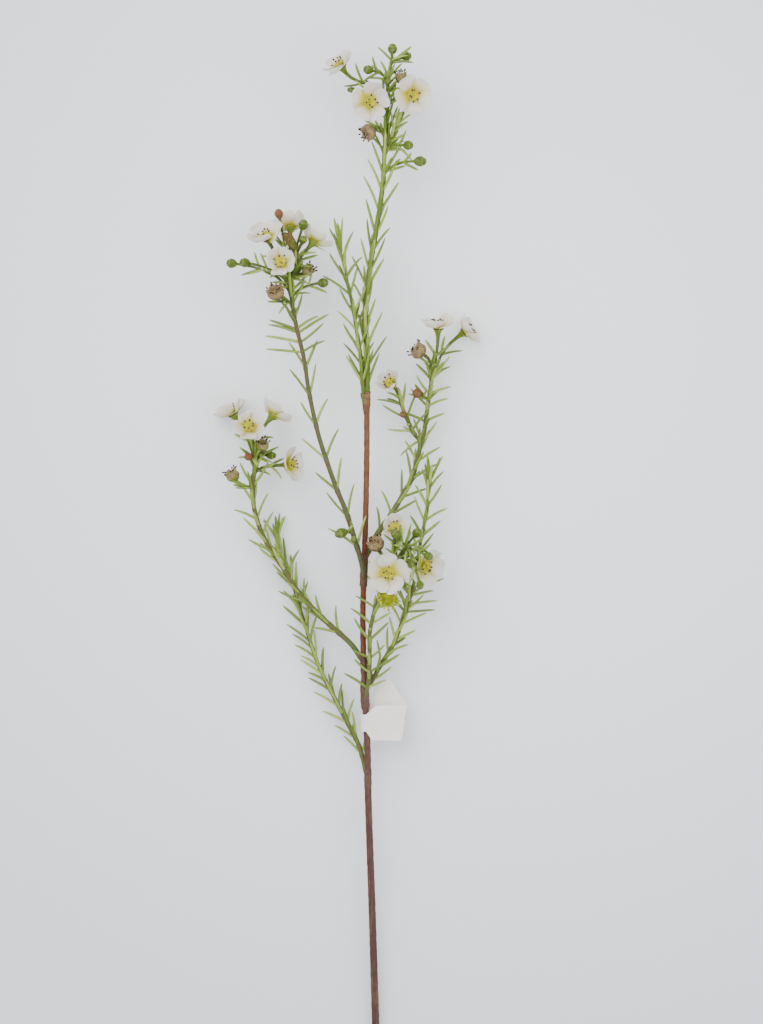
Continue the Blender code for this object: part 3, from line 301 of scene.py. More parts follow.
# Buds: what carries it, its middle, its width and length, and its kind.
BUDS = [
    ("tall_spray", (26.5, 352.0, 39.5), 6.6, 7.2, "bud"),
    ("tall_spray", (36.2, 347.0, 36.0), 6.4, 7.0, "bud"),
    ("tall_spray", (9.9, 337.6, 42.0), 6.4, 7.0, "bud"),
    ("tall_spray", (23.5, 329.5, 46.0), 4.8, 5.4, "bud"),
    ("tall_spray", (-1.4, 324.0, 38.0), 4.2, 6.2, "bud"),
    ("tall_spray", (37.4, 286.3, 41.0), 6.6, 7.0, "bud"),
    ("tall_spray", (45.6, 275.4, 42.0), 7.2, 8.6, "bud"),
    ("left_upper_spray", (-50.7, 240.0, 40.0), 6.0, 6.8, "red_bud"),
    ("left_upper_spray", (-34.0, 232.5, 46.0), 6.6, 7.4, "bud"),
    ("left_upper_spray", (-34.0, 222.0, 50.0), 5.6, 6.0, "bud"),
    ("left_upper_spray", (-74.0, 206.8, 38.0), 6.6, 7.2, "bud"),
    ("left_upper_spray", (-83.0, 206.4, 36.0), 6.6, 7.2, "bud"),
    ("left_upper_spray", (-20.4, 193.0, 41.0), 6.8, 7.4, "bud"),
    ("left_upper_spray", (-8.5, 23.0, 37.5), 7.0, 10.0, "bud"),
    ("left_upper_spray", (0.4, 19.0, 37.5), 4.6, 5.6, "bud"),
    ("left_mid_spray", (-71.5, 75.0, 31.0), 5.4, 8.0, "red_bud"),
    ("left_mid_spray", (-56.0, 76.0, 23.0), 5.6, 7.0, "bud"),
    ("right_upper_spray", (43.2, 118.2, 25.5), 6.6, 7.2, "red_bud"),
    ("right_side_branch", (33.4, 103.8, 29.0), 4.4, 5.0, "red_bud"),
    ("centre_front_branch", (28.4, 22.5, 53.0), 6.4, 7.4, "bud"),
    ("centre_spray", (43.2, 23.4, 38.0), 6.6, 7.2, "bud"),
    ("centre_front_branch", (51.0, 7.5, 55.0), 5.8, 6.4, "bud"),
    ("centre_front_branch", (45.2, -12.2, 57.0), 5.4, 6.0, "bud"),
]

# Collar: its route, its radius at both ends, its flattening and the turns of its tape.
COLLAR_ROUTE = [(9.0, 104.0, 31.5), (8.8, 109.0, 32.0), (8.3, 118.3, 32.9)]
COLLAR_RADII = (2.5, 4.3)
COLLAR_STEP = 0.7
COLLAR_SIDES = 24
COLLAR_FOOT = 0.86
COLLAR_SQUASH = 0.84
COLLAR_TEAR = 0.9
COLLAR_TURNS = 2.4

# The label's strip: the stem's middle inside it, how far each leaf reaches along X, and the
# lower and upper edges of its leaves.
LABEL_AXIS = (8.55, -106.4, 18.15)
LABEL_RADIUS = 3.55
LABEL_PAPER = 0.3
LABEL_CUTS = (96, 20)
LABEL_FRONT_REACH = 36.0
LABEL_BACK_REACH = 36.6
LABEL_SLANT = 3.0
LABEL_CORNER = 0.8
LABEL_CORNER_REACH = 4.0
LABEL_LIFT = 0.9
LABEL_WAVE = 0.35
LABEL_WAVE_PITCH = 0.35
LABEL_CREASE = 0.25
LABEL_DROP = 1.1
LABEL_NECK = (-112.2, -100.6)
LABEL_FRONT_LOW = [(8.55, -112.2), (13.0, -118.0), (36.0, -118.3)]
LABEL_FRONT_HIGH = [(8.55, -100.6), (15.0, -94.6), (36.0, -94.3)]
LABEL_BACK_LOW = [(8.55, -112.2), (24.0, -114.0), (36.6, -96.5)]
LABEL_BACK_HIGH = [(8.55, -99.0), (15.3, -84.0), (22.8, -73.4), (36.6, -94.6)]

# Camera: the photograph's scale and the place at its middle, seen from straight above.
PHOTO_PIXELS = (763, 1024)
PIXEL = 0.68
PHOTO_MIDDLE = (23.84, 37.2)
FOCUS_HEIGHT = 30.0
LENS = 300.0
SENSOR = 36.0
CAMERA_SIGHT = 20.0

# Floor and light, in metres and watts: the floor's size and drop, the middle of the light pool
# painted on it, each lamp's place, size and power, and the colour and strength of light from all round.
FLOOR_SIZE = 8.0
FLOOR_DROP = 0.0002
FLOOR_LIGHT_POOL_MIDDLE = (0.09, 0.14, 0.0)
LAMPS = {"key_light": ((-1.1, 1.3, 2.2), 2.6, 80.0), "fill_light": ((1.5, -0.5, 1.8), 2.4, 26.0)}
SKY_COLOUR = (0.97, 0.98, 1.0, 1.0)
SKY_STRENGTH = 1.45

# The channels of the tint attribute: how far along a piece, its shade, its kind, how far across.
RUN, SHADE, KIND, ACROSS = range(4)
# What the kind channel says: what a piece of a spray or bloom is.
KINDS = {"stem": 0.0, "needle": 0.2, "calyx": 0.4, "bud": 0.6, "red_bud": 0.8,
         "cup": 0.0, "filament": 0.4, "anther": 0.8}


def at(point):
    """A place in millimetres as metres in the model's frame."""
    return (Vector(point) + SHIFT) * MM


def unit(direction):
    return Vector(direction).normalized()


def out_by(direction, distance):
    """A step of some millimetres in a direction."""
    return unit(direction) * distance * MM


def turned_about(axis, angle):
    return Matrix.Rotation(angle, 4, axis)


def facing(place, direction, turn=0.0):
    """Puts local +Z along a direction at a place, turned about it by an angle."""
    aim = unit(direction).to_track_quat("Z", "Y").to_matrix().to_4x4()
    return Matrix.Translation(place) @ aim @ turned_about("Z", turn)


def tree_of(points):
    """A search tree that finds the nearest of some points by its number."""
    tree = KDTree(max(1, len(points)))
    for number, point in enumerate(points):
        tree.insert(point, number)
    tree.balance()
    return tree


def spline_through(points, steps=8):
    """Points along a smooth curve through the given ones."""
    ends = [2 * points[0] - points[1]] + points + [2 * points[-1] - points[-2]]
    line = []
    for a, b, c, d in zip(ends, ends[1:], ends[2:], ends[3:]):
        for k in range(steps):
            t = k / steps
            line.append(0.5 * (2 * b + (c - a) * t + (2 * a - 5 * b + 4 * c - d) * t * t
                               + (3 * b - a - 3 * c + d) * t ** 3))
    line.append(points[-1].copy())
    return line


class Route:
    """A smooth line through a few places, read by its length from the start."""

    def __init__(self, places):
        self.line = spline_through(places)
        self.marks = [0.0]
        for a, b in zip(self.line, self.line[1:]):
            self.marks.append(self.marks[-1] + (b - a).length)
        self.length = self.marks[-1]

    def place(self, distance):
        """The point at a distance along the route, and the direction there."""
        distance = min(max(distance, 0.0), self.length)
        k = 1
        while k < len(self.marks) - 1 and self.marks[k] < distance:
            k += 1
        a, b = self.line[k - 1], self.line[k]
        part = (distance - self.marks[k - 1]) / max(self.marks[k] - self.marks[k - 1], 1e-9)
        return a.lerp(b, part), (b - a).normalized()

    def nearest(self, point):
        gaps = [(p - point).length for p in self.line]
        return self.marks[gaps.index(min(gaps))]

    def stations(self, step):
        count = max(2, round(self.length / (step * MM)))
        return [self.length * k / count for k in range(count + 1)]


def route_of(table):
    return Route([at(point) for point in table])


def deselect():
    bpy.ops.object.select_all(action="DESELECT")


def weld(threshold, face_out=False):
    """Merges the doubled points of the active piece, and may turn its faces outwards."""
    bpy.ops.object.mode_set(mode="EDIT")
    bpy.ops.mesh.select_all(action="SELECT")
    bpy.ops.mesh.remove_doubles(threshold=threshold)
    if face_out:
        bpy.ops.mesh.normals_make_consistent(inside=False)
    bpy.ops.object.mode_set(mode="OBJECT")


def apply_modifiers(obj):
    """Fixes every modifier of an object in its mesh."""
    deselect()
    obj.select_set(True)
    bpy.context.view_layer.objects.active = obj
    for modifier in list(obj.modifiers):
        bpy.ops.object.modifier_apply(modifier=modifier.name)


def paint(mesh, run, kind, shade=0.5, across=0.0):
    """Keeps on each point how far along its piece it is, its piece's shade, its kind and
    how far it is from the piece's middle line."""
    tint = mesh.attributes.get("tint") or mesh.attributes.new("tint", "FLOAT_COLOR", "POINT")
    values = np.ones((len(mesh.vertices), 4), np.float32)
    for channel, value in ((RUN, run), (SHADE, shade), (KIND, kind), (ACROSS, across)):
        values[:, channel] = value
    tint.data.foreach_set("color", values.ravel())


def repaint(obj, channel, value):
    """Sets one channel of a piece's tint all over."""
    tint = obj.data.attributes["tint"].data
    values = np.empty(len(tint) * 4, np.float32)
    tint.foreach_get("color", values)
    values[channel::4] = value
    tint.foreach_set("color", values)


def turned(name, sides, profile, kind, shape=None):
    """A closed turned piece: a cylinder cut into rings, each then set to the profile."""
    steps = len(profile) - 1
    deselect()
    bpy.ops.mesh.primitive_cylinder_add(vertices=sides, radius=1.0, depth=steps)
    obj = bpy.context.view_layer.objects.active
    obj.name = name
    bpy.ops.object.mode_set(mode="EDIT")
    for ring in range(1, steps):
        bpy.ops.mesh.select_all(action="SELECT")
        bpy.ops.mesh.bisect(plane_co=(0, 0, ring - steps / 2), plane_no=(0, 0, 1))
    bpy.ops.object.mode_set(mode="OBJECT")
    run = []
    across = []
    for vert in obj.data.vertices:
        ring = round(vert.co.z + steps / 2)
        radius, height = profile[ring]
        angle = math.atan2(vert.co.y, vert.co.x)
        if shape:
            radius, height = shape(radius, height, angle, ring / steps)
        vert.co = Vector((radius * math.cos(angle), radius * math.sin(angle), height)) * MM
        run.append(ring / steps)
        across.append(abs(math.cos(angle)))
    paint(obj.data, run, KINDS[kind], 0.5, across)
    obj.data.shade_smooth()
    return obj


def stamp(template, matrix, shade=None):
    """A copy of a template with its own mesh, placed in its mesh."""
    obj = template.copy()
    obj.data = template.data.copy()
    obj.data.transform(matrix)
    if matrix.determinant() < 0:
        obj.data.flip_normals()
    bpy.context.scene.collection.objects.link(obj)
    if shade is not None:
        repaint(obj, SHADE, shade)
    return obj


def joined(name, pieces):
    """One object from several, at the origin."""
    deselect()
    for piece in pieces:
        piece.select_set(True)
    bpy.context.view_layer.objects.active = pieces[0]
    if len(pieces) > 1:
        bpy.ops.object.join()
    obj = bpy.context.view_layer.objects.active
    obj.name = name
    obj.data.name = name
    return obj


def retire(*templates):
    """Removes the templates once their copies are made."""
    for obj in templates:
        bpy.data.objects.remove(obj)


def tube(name, points, radii, sides, shade=0.5, form=None, run=None):
    """A tube along a line of points, drawn as a curve and made a mesh. A form may move each
    point of a ring: it gets the ring, the part of the way round and the arm from the middle."""
    deselect()
    bpy.ops.curve.primitive_nurbs_path_add()
    obj = bpy.context.view_layer.objects.active
    obj.name = name
    curve = obj.data
    curve.splines.clear()
    curve.bevel_depth = MM
    curve.bevel_resolution = (sides - 4) // 2
    curve.use_fill_caps = True
    spline = curve.splines.new("POLY")
    spline.points.add(len(points) - 1)
    for node, point, radius in zip(spline.points, points, radii):
        node.co = (*point, 1.0)
        node.radius = radius
    bpy.ops.object.convert(target="MESH")
    obj = bpy.context.view_layer.objects.active
    mesh = obj.data
    values = []
    tree = tree_of(points)
    for number, vert in enumerate(mesh.vertices):
        ring = number // sides if number < len(points) * sides else tree.find(vert.co)[1]
        if form:
            vert.co = points[ring] + form(ring, (number % sides) / sides, vert.co - points[ring])
        values.append(run[ring] if run else ring / (len(points) - 1))
    paint(mesh, values, KINDS["stem"], shade)
    weld(0.00001)
    mesh.shade_smooth()
    return obj


# Shader groups

def new_group(name, inputs, outputs):
    group = bpy.data.node_groups.new(name, "ShaderNodeTree")
    for label, kind, value in inputs:
        socket = group.interface.new_socket(label, in_out="INPUT", socket_type=kind)
        if value is not None:
            socket.default_value = value
    for label, kind in outputs:
        group.interface.new_socket(label, in_out="OUTPUT", socket_type=kind)
    source = group.nodes.new("NodeGroupInput")
    sink = group.nodes.new("NodeGroupOutput")
    return group, source.outputs, sink.inputs


def feed(tree, socket, value):
    """Sets a socket to a number or a colour, or links it."""
    if isinstance(value, (int, float)):
        socket.default_value = value
    elif isinstance(value, tuple):
        socket.default_value = (*value, 1.0)
    else:
        tree.links.new(value, socket)


def math_node(tree, operation, first, second=0.0, third=0.0):
    node = tree.nodes.new("ShaderNodeMath")
    node.operation = operation
    for socket, value in zip(node.inputs, (first, second, third)):
        feed(tree, socket, value)
    return node.outputs[0]


def mix_node(tree, factor, first, second, blend="MIX"):
    node = tree.nodes.new("ShaderNodeMix")
    node.data_type = "RGBA"
    node.blend_type = blend
    feed(tree, node.inputs[0], factor)
    feed(tree, node.inputs[6], first)
    feed(tree, node.inputs[7], second)
    return node.outputs[2]


def noise_node(tree, scale, detail=3.0, stretch=None):
    """Noise on Object coordinates, which may be drawn out along an axis."""
    place = tree.nodes.new("ShaderNodeTexCoord").outputs["Object"]
    if stretch:
        mapping = tree.nodes.new("ShaderNodeMapping")
        mapping.inputs["Scale"].default_value = stretch
        tree.links.new(place, mapping.inputs["Vector"])
        place = mapping.outputs["Vector"]
    noise = tree.nodes.new("ShaderNodeTexNoise")
    noise.inputs["Detail"].default_value = detail
    tree.links.new(place, noise.inputs["Vector"])
    feed(tree, noise.inputs["Scale"], scale)
    return noise.outputs["Fac"]


def ramp_node(tree, factor, stops, mode="LINEAR"):
    node = tree.nodes.new("ShaderNodeValToRGB")
    ramp = node.color_ramp
    ramp.interpolation = mode
    while len(ramp.elements) < len(stops):
        ramp.elements.new(0.5)
    for element, (place, colour) in zip(ramp.elements, stops):
        element.position = place
        element.color = (*colour, 1.0)
    tree.links.new(factor, node.inputs["Fac"])
    return node.outputs["Color"]


def level_node(tree, factor, *stops):
    """A ramp of grey levels, for a mask."""
    return ramp_node(tree, factor, [(place, (level,) * 3) for place, level in stops])


def make_mottle_group():
    """Uneven colour: patches a little darker and lighter than the base."""
    group, source, sink = new_group(
        "mottle", [("Color", "NodeSocketColor", None), ("Scale", "NodeSocketFloat", 200.0),
                   ("Depth", "NodeSocketFloat", 0.3)], [("Color", "NodeSocketColor")])
    patch = math_node(group, "SUBTRACT", noise_node(group, source["Scale"]), 0.5)
    swing = math_node(group, "MULTIPLY", patch, source["Depth"])
    level = math_node(group, "MULTIPLY_ADD", swing, 2.0, 1.0)
    grey = group.nodes.new("ShaderNodeCombineColor")
    for socket in grey.inputs:
        group.links.new(level, socket)
    mixed = mix_node(group, 1.0, source["Color"], grey.outputs["Color"], "MULTIPLY")
    group.links.new(mixed, sink["Color"])
    return group


def make_grain_group():
    """Fine relief for moulded plastic, tape and paper."""
    group, source, sink = new_group(
        "surface_grain", [("Scale", "NodeSocketFloat", 900.0), ("Strength", "NodeSocketFloat", 0.1)],
        [("Normal", "NodeSocketVector")])
    bump = group.nodes.new("ShaderNodeBump")
    bump.inputs["Distance"].default_value = 0.0004
    group.links.new(source["Strength"], bump.inputs["Strength"])
    group.links.new(noise_node(group, source["Scale"], 4.0), bump.inputs["Height"])
    group.links.new(bump.outputs["Normal"], sink["Normal"])
    return group


MOTTLE = make_mottle_group()
GRAIN = make_grain_group()


def new_material(name, roughness, specular=0.5):
    made = bpy.data.materials.new(name)
    made.use_nodes = True
    shader = made.node_tree.nodes["Principled BSDF"]
    shader.inputs["Roughness"].default_value = roughness
    shader.inputs["Specular IOR Level"].default_value = specular
    return made, made.node_tree, shader


def dress(tree, shader, colour, mottle, grain):
    """Runs a colour through the mottle group and adds the grain."""
    patches = tree.nodes.new("ShaderNodeGroup")
    patches.node_tree = MOTTLE
    patches.inputs["Scale"].default_value, patches.inputs["Depth"].default_value = mottle
    tree.links.new(colour, patches.inputs["Color"])
    tree.links.new(patches.outputs["Color"], shader.inputs["Base Color"])
    relief = tree.nodes.new("ShaderNodeGroup")
    relief.node_tree = GRAIN
    relief.inputs["Scale"].default_value, relief.inputs["Strength"].default_value = grain
    tree.links.new(relief.outputs["Normal"], shader.inputs["Normal"])


def glow_through(shader, weight, tint, reach):
    """Lets some light into a thin or waxy piece."""
    shader.inputs["Subsurface Weight"].default_value = weight
    shader.inputs["Subsurface Radius"].default_value = tint
    shader.inputs["Subsurface Scale"].default_value = reach * MM


def tint_channels(tree):
    """Run, shade, kind and across, as paint keeps them."""
    source = tree.nodes.new("ShaderNodeAttribute")
    source.attribute_name = "tint"
    split = tree.nodes.new("ShaderNodeSeparateColor")
    tree.links.new(source.outputs["Color"], split.inputs["Color"])
    return (*split.outputs, source.outputs["Alpha"])


def tape_material():
    """Red-brown crepe tape, warmer towards the top of the stem, with darker winding edges."""
    made, tree, shader = new_material("stem_tape", 0.5, 0.25)
    run, wrap, _, edge = tint_channels(tree)
    along = ramp_node(tree, run, [(0.0, (0.052, 0.020, 0.014)), (0.30, (0.056, 0.021, 0.016)),
                                  (0.45, (0.070, 0.025, 0.019)), (0.60, (0.082, 0.034, 0.022)),
                                  (0.66, (0.105, 0.023, 0.008)), (0.80, (0.115, 0.026, 0.008)),
                                  (0.88, (0.135, 0.048, 0.014)), (1.0, (0.142, 0.056, 0.020))])
    streak = noise_node(tree, 500.0, 4.0, (1.0, 0.1, 1.0))
    lighter = level_node(tree, streak, (0.48, 0.0), (0.78, 0.4))
    streaked = mix_node(tree, lighter, along, (0.20, 0.105, 0.065))
    rewound = math_node(tree, "MULTIPLY", wrap, 0.75)
    bound = mix_node(tree, rewound, streaked, (0.084, 0.046, 0.029))
    lined = mix_node(tree, math_node(tree, "MULTIPLY", edge, 0.55), bound, (0.03, 0.012, 0.009))
    dress(tree, shader, lined, (240.0, 0.45), (1500.0, 0.3))
    return made


def collar_material():
    """Tan tape, paler towards its torn edge."""
    made, tree, shader = new_material("collar_tape", 0.55, 0.25)
    run, _, _, edge = tint_channels(tree)
    along = ramp_node(tree, run, [(0.0, (0.120, 0.048, 0.020)), (0.35, (0.135, 0.062, 0.024)),
                                  (0.6, (0.175, 0.092, 0.035)), (1.0, (0.190, 0.105, 0.046))])
    lined = mix_node(tree, math_node(tree, "MULTIPLY", edge, 0.6), along, (0.06, 0.024, 0.011))
    dress(tree, shader, lined, (320.0, 0.6), (1300.0, 0.35))
    return made


def green_material():
    """Moulded green plastic: olive and brown stems, needles in many greens with a painted highlight along
    their edges, two-tone buds.
    """
    made, tree, shader = new_material("spray_green", 0.42, 0.2)
    run, shade, kind, across = tint_channels(tree)

    bright_stem = mix_node(tree, shade, (0.072, 0.070, 0.028), (0.088, 0.145, 0.012))
    patch = level_node(tree, noise_node(tree, 75.0, 2.0), (0.5, 0.0), (0.64, 0.4))
    weathered = mix_node(tree, patch, bright_stem, (0.090, 0.082, 0.040))
    stem = mix_node(tree, run, weathered, (0.110, 0.055, 0.028))

    needle = ramp_node(tree, shade, [(0.0, (0.080, 0.130, 0.012)), (0.4, (0.155, 0.240, 0.026)),
                                     (0.75, (0.230, 0.315, 0.045)), (1.0, (0.310, 0.370, 0.080))])
    # Painted highlight: each needle is lighter towards its edges, as if light caught them there.
    rim = math_node(tree, "MULTIPLY", math_node(tree, "POWER", across, 3.0), 0.35)
    edge_highlighted = mix_node(tree, rim, needle, (0.34, 0.40, 0.13))
    ends = level_node(tree, run, (0.0, 0.5), (0.12, 0.0), (0.88, 0.0), (1.0, 0.7))
    needle = mix_node(tree, ends, edge_highlighted, (0.105, 0.095, 0.015))

    calyx = ramp_node(tree, run, [(0.0, (0.080, 0.125, 0.010)), (0.4, (0.120, 0.175, 0.012)),
                                  (0.7, (0.190, 0.225, 0.020))])
    bud = ramp_node(tree, run, [(0.0, (0.070, 0.110, 0.006)), (0.5, (0.058, 0.095, 0.008)),
                                (0.62, (0.170, 0.205, 0.040)), (0.72, (0.062, 0.092, 0.014)),
                                (1.0, (0.110, 0.120, 0.025))])
    fleck = level_node(tree, noise_node(tree, 520.0, 3.0), (0.48, 0.0), (0.66, 0.8))
    bud = mix_node(tree, fleck, bud, (0.150, 0.185, 0.030))
    red = mix_node(tree, fleck, (0.165, 0.058, 0.026), (0.100, 0.110, 0.022))

    colour = stem
    for start, other in ((0.1, needle), (0.3, calyx), (0.5, bud), (0.7, red)):
        colour = mix_node(tree, math_node(tree, "GREATER_THAN", kind, start), colour, other)
    dress(tree, shader, colour, (330.0, 0.4), (1300.0, 0.2))
    glow_through(shader, 0.1, (0.6, 1.0, 0.1), 0.8)
    return made


def petal_material():
    """Thin white petals with a yellow throat, fine veins, faintly flushed rims and painted shade that
    greys their tips.
    """
    made, tree, shader = new_material("petal_white", 0.55, 0.2)
    run, shade, _, across = tint_channels(tree)
    reach = math_node(tree, "MULTIPLY", run, math_node(tree, "MULTIPLY_ADD", shade, 0.5, 0.65))
    # Past the white middle the tips turn greyer: painted shade that stands in for the thin tips letting
    # light through.
    along = ramp_node(tree, reach, [(0.0, (0.38, 0.34, 0.002)), (0.22, (0.45, 0.40, 0.008)),
                                    (0.34, (0.55, 0.50, 0.21)), (0.48, (0.62, 0.565, 0.45)),
                                    (0.80, (0.65, 0.62, 0.575)), (1.0, (0.57, 0.535, 0.49))])
    vein = math_node(tree, "SINE", math_node(tree, "MULTIPLY", across, 38.0))
    vein = math_node(tree, "POWER", math_node(tree, "ABSOLUTE", vein), 6.0)
    fade = level_node(tree, run, (0.15, 0.0), (0.3, 0.22), (0.9, 0.0))
    veined = mix_node(tree, math_node(tree, "MULTIPLY", vein, fade), along, (0.46, 0.40, 0.31))
    flush = level_node(tree, noise_node(tree, 130.0, 2.0), (0.5, 0.0), (0.72, 0.4))
    flushed = mix_node(tree, math_node(tree, "MULTIPLY", flush, run), veined, (0.62, 0.50, 0.43))
    dress(tree, shader, flushed, (160.0, 0.16), (1800.0, 0.12))
    glow_through(shader, 0.3, (1.0, 0.85, 0.7), 2.5)
    return made


def centre_material():
    """Yellow-green cup, pale filaments and dark anthers."""
    made, tree, shader = new_material("centre_yellow", 0.4, 0.35)
    run, shade, kind, _ = tint_channels(tree)
    cup = ramp_node(tree, run, [(0.0, (0.22, 0.23, 0.004)), (0.35, (0.46, 0.41, 0.003)),
                                (0.6, (0.50, 0.44, 0.003)), (0.8, (0.29, 0.29, 0.002)),
                                (1.0, (0.42, 0.41, 0.005))])
    pale = mix_node(tree, math_node(tree, "GREATER_THAN", kind, 0.2), cup, (0.47, 0.38, 0.17))
    anther = ramp_node(tree, shade, [(0.0, (0.030, 0.014, 0.010)), (0.6, (0.060, 0.030, 0.018)),
                                     (1.0, (0.140, 0.110, 0.040))])
    colour = mix_node(tree, math_node(tree, "GREATER_THAN", kind, 0.6), pale, anther)
    dress(tree, shader, colour, (500.0, 0.3), (1500.0, 0.2))
    return made


def head_material(name, cup, lip, anther):
    """Dry cups: rough and blotched, with pale filaments and dark anthers."""
    made, tree, shader = new_material(name, 0.7, 0.15)
    run, shade, kind, _ = tint_channels(tree)
    along = ramp_node(tree, run, [(0.0, cup), (0.27, cup), (0.45, lip), (0.62, lip), (1.0, cup)])
    blotch = level_node(tree, noise_node(tree, 600.0, 3.0), (0.46, 0.0), (0.64, 0.75))
    blotched = mix_node(tree, blotch, along, lip)
    fresh = math_node(tree, "GREATER_THAN", shade, 0.9)
    bright = mix_node(tree, fresh, blotched, (0.27, 0.29, 0.006))
    pale = mix_node(tree, math_node(tree, "GREATER_THAN", kind, 0.2), bright, (0.36, 0.28, 0.20))
    tipped = mix_node(tree, math_node(tree, "GREATER_THAN", kind, 0.6), pale, anther)
    stamens = math_node(tree, "MULTIPLY", fresh, math_node(tree, "GREATER_THAN", kind, 0.2))
    colour = mix_node(tree, stamens, tipped, (0.34, 0.36, 0.012))
    dress(tree, shader, colour, (420.0, 0.8), (900.0, 0.6))
    return made


def paper_material():
    """White paper with faint fibres."""
    made, tree, shader = new_material("label_paper", 0.7, 0.25)
    fibre = noise_node(tree, 900.0, 5.0)
    colour = ramp_node(tree, fibre, [(0.3, (0.72, 0.69, 0.64)), (0.7, (0.79, 0.77, 0.72))])
    dress(tree, shader, colour, (60.0, 0.08), (2200.0, 0.12))
    glow_through(shader, 0.15, (1.0, 0.9, 0.8), 1.0)
    return made


DRY = (0.030, 0.014, 0.012)
LOOKS = {
    "stem_tape": tape_material(),
    "collar_tape": collar_material(),
    "spray_green": green_material(),
    "petal_white": petal_material(),
    "centre_yellow": centre_material(),
    "label_paper": paper_material(),
    "spent_brown": head_material("spent_brown", (0.125, 0.085, 0.022), (0.240, 0.170, 0.085), DRY),
    "spent_olive": head_material("spent_olive", (0.070, 0.082, 0.010), (0.110, 0.076, 0.022), DRY),
    "cup_green": head_material("cup_green", (0.090, 0.135, 0.008), (0.230, 0.175, 0.075), DRY),
}


def finish_piece(obj, name, look, *nodes):
    """Gives a finished piece its material and body, and hides the nodes it stands for."""
    obj.name = name
    obj.data.materials.clear()
    obj.data.materials.append(LOOKS[look])
    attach(obj, "root")
    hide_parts(*nodes)


# Templates

def make_needle_template(bend):
    """A needle of unit length along +Z, in metres: flattened, and bent along Y by widths."""
    obj = turned("needle_template", NEEDLE_SIDES, NEEDLE_OUTLINE, "needle")
    for vert in obj.data.vertices:
        run = vert.co.z / MM
        vert.co = Vector((vert.co.x / MM, vert.co.y / MM * NEEDLE_FLATNESS + bend * run * run, run))
    return obj


def make_calyx_template():
    """Green cup under a bloom, ribbed, with five pointed lobes that stand out."""
    profile = [(1.1, 0.0), (1.35, 0.4), (1.5, 1.6), (1.9, 3.0), (2.5, 4.4), (3.1, 5.4), (3.7, 6.2),
               (3.2, 6.0), (2.2, 5.7), (1.2, 5.6)]

    def shape(radius, height, angle, run):
        if run < 0.5:
            return radius * (1 + 0.06 * math.cos(angle * 10)), height
        wave = math.cos(angle * 5)
        return radius * (1 + 0.22 * wave), height - 0.3 + 0.3 * wave
    return turned("calyx_template", 20, profile, "calyx", shape)


def make_bud_template():
    """A round closed bud of unit size: a five-lobed cup with folded petals domed above it."""
    profile = [(0.13, -0.56), (0.22, -0.5), (0.36, -0.38), (0.47, -0.18), (0.5, 0.02), (0.485, 0.12),
               (0.43, 0.15), (0.40, 0.24), (0.33, 0.35), (0.22, 0.44), (0.06, 0.48)]

    def shape(radius, height, angle, run):
        wave = math.cos(angle * 5)
        if 0.35 < run < 0.55:
            return radius * (1 + 0.02 * wave), height + 0.05 * wave
        return radius * (1 + 0.04 * wave * min(1.0, run * 1.6)), height
    obj = turned("bud_template", 15, profile, "bud", shape)
    for vert in obj.data.vertices:
        vert.co /= MM
    return obj


def make_centre_cup_template():
    """The nectar cup: a low flared ring, a dished floor and the pistil's stub."""
    profile = [(1.2, 0.0), (1.9, 0.1), (2.7, 0.6), (3.3, 1.4), (3.7, 2.1), (3.6, 2.35), (3.2, 2.1),
               (2.6, 1.5), (1.9, 1.15), (1.0, 1.1), (0.65, 1.35), (0.4, 2.5), (0.32, 2.9)]

    def shape(radius, height, angle, run):
        wave = math.cos(angle * 5 + 1.0)
        return radius * (1 + 0.05 * math.cos(angle * 10)), height + 0.15 * run * wave
    return turned("centre_cup_template", 20, profile, "cup", shape)


def make_stamen_template(length, width):
    """A thin filament with a bean-shaped anther at its end."""
    profile = [(0.28, 0.0), (0.2, 0.4), (0.2, 0.68), (0.5, 0.76), (0.62, 0.86), (0.5, 0.95),
               (0.15, 1.0)]
    scaled = [(radius * width, part * length) for radius, part in profile]
    obj = turned("stamen_template", 7, scaled, "filament")
    anther_foot = 0.72 * length * MM
    kinds = [KINDS["anther" if v.co.z > anther_foot else "filament"] for v in obj.data.vertices]
    paint(obj.data, 0.5, kinds)
    for vert in obj.data.vertices:
        vert.co.x += 0.6 * MM * (vert.co.z / (length * MM)) ** 2
    return obj


def make_petal(length, cup):
    """A broad thin petal along +X: a grid rounded to a disc, cupped, curled and waved."""
    deselect()
    bpy.ops.mesh.primitive_grid_add(x_subdivisions=PETAL_CUTS, y_subdivisions=PETAL_CUTS, size=2.0)
    obj = bpy.context.view_layer.objects.active
    phase = chance.uniform(0, math.tau)
    curl = chance.uniform(*PETAL_CURL)
    ruffle = chance.uniform(*PETAL_RUFFLE)
    hollow = chance.uniform(*PETAL_HOLLOW)
    skew = chance.uniform(*PETAL_SKEW)
    run_values = []
    across = []
    for vert in obj.data.vertices:
        out = vert.co.x * math.sqrt(1 - vert.co.y ** 2 / 2)
        side = vert.co.y * math.sqrt(1 - vert.co.x ** 2 / 2)
        run = (out + 1) / 2
        half = length * PETAL_SPREAD * (0.36 + 0.62 * run)
        rim = out * out + side * side
        wave = ruffle * math.sin(4 * math.atan2(side, out) + phase) * rim * rim * run
        notch = 0.7 * math.exp(-(side * 4) ** 2) * max(0.0, run - 0.8) * 5
        height = (0.62 + cup * run ** 1.8 + hollow * side * side * run - 0.9 * math.sin(math.pi * run)
                  + curl * run ** 4 + wave)
        reach = PETAL_ROOT + run * (length - PETAL_ROOT) - notch
        vert.co = Vector((reach, side * half + skew * reach, height)) * MM
        run_values.append(run)
        across.append(abs(side))
    paint(obj.data, run_values, 0.0, chance.random(), across)
    obj.data.shade_smooth()
    shell = obj.modifiers.new("thickness", "SOLIDIFY")
    shell.thickness = PETAL_PAPER * MM
    shell.offset = 0.0
    soften = obj.modifiers.new("soften", "SUBSURF")
    soften.levels = 1
    soften.render_levels = 1
    apply_modifiers(obj)
    return obj


# Pieces

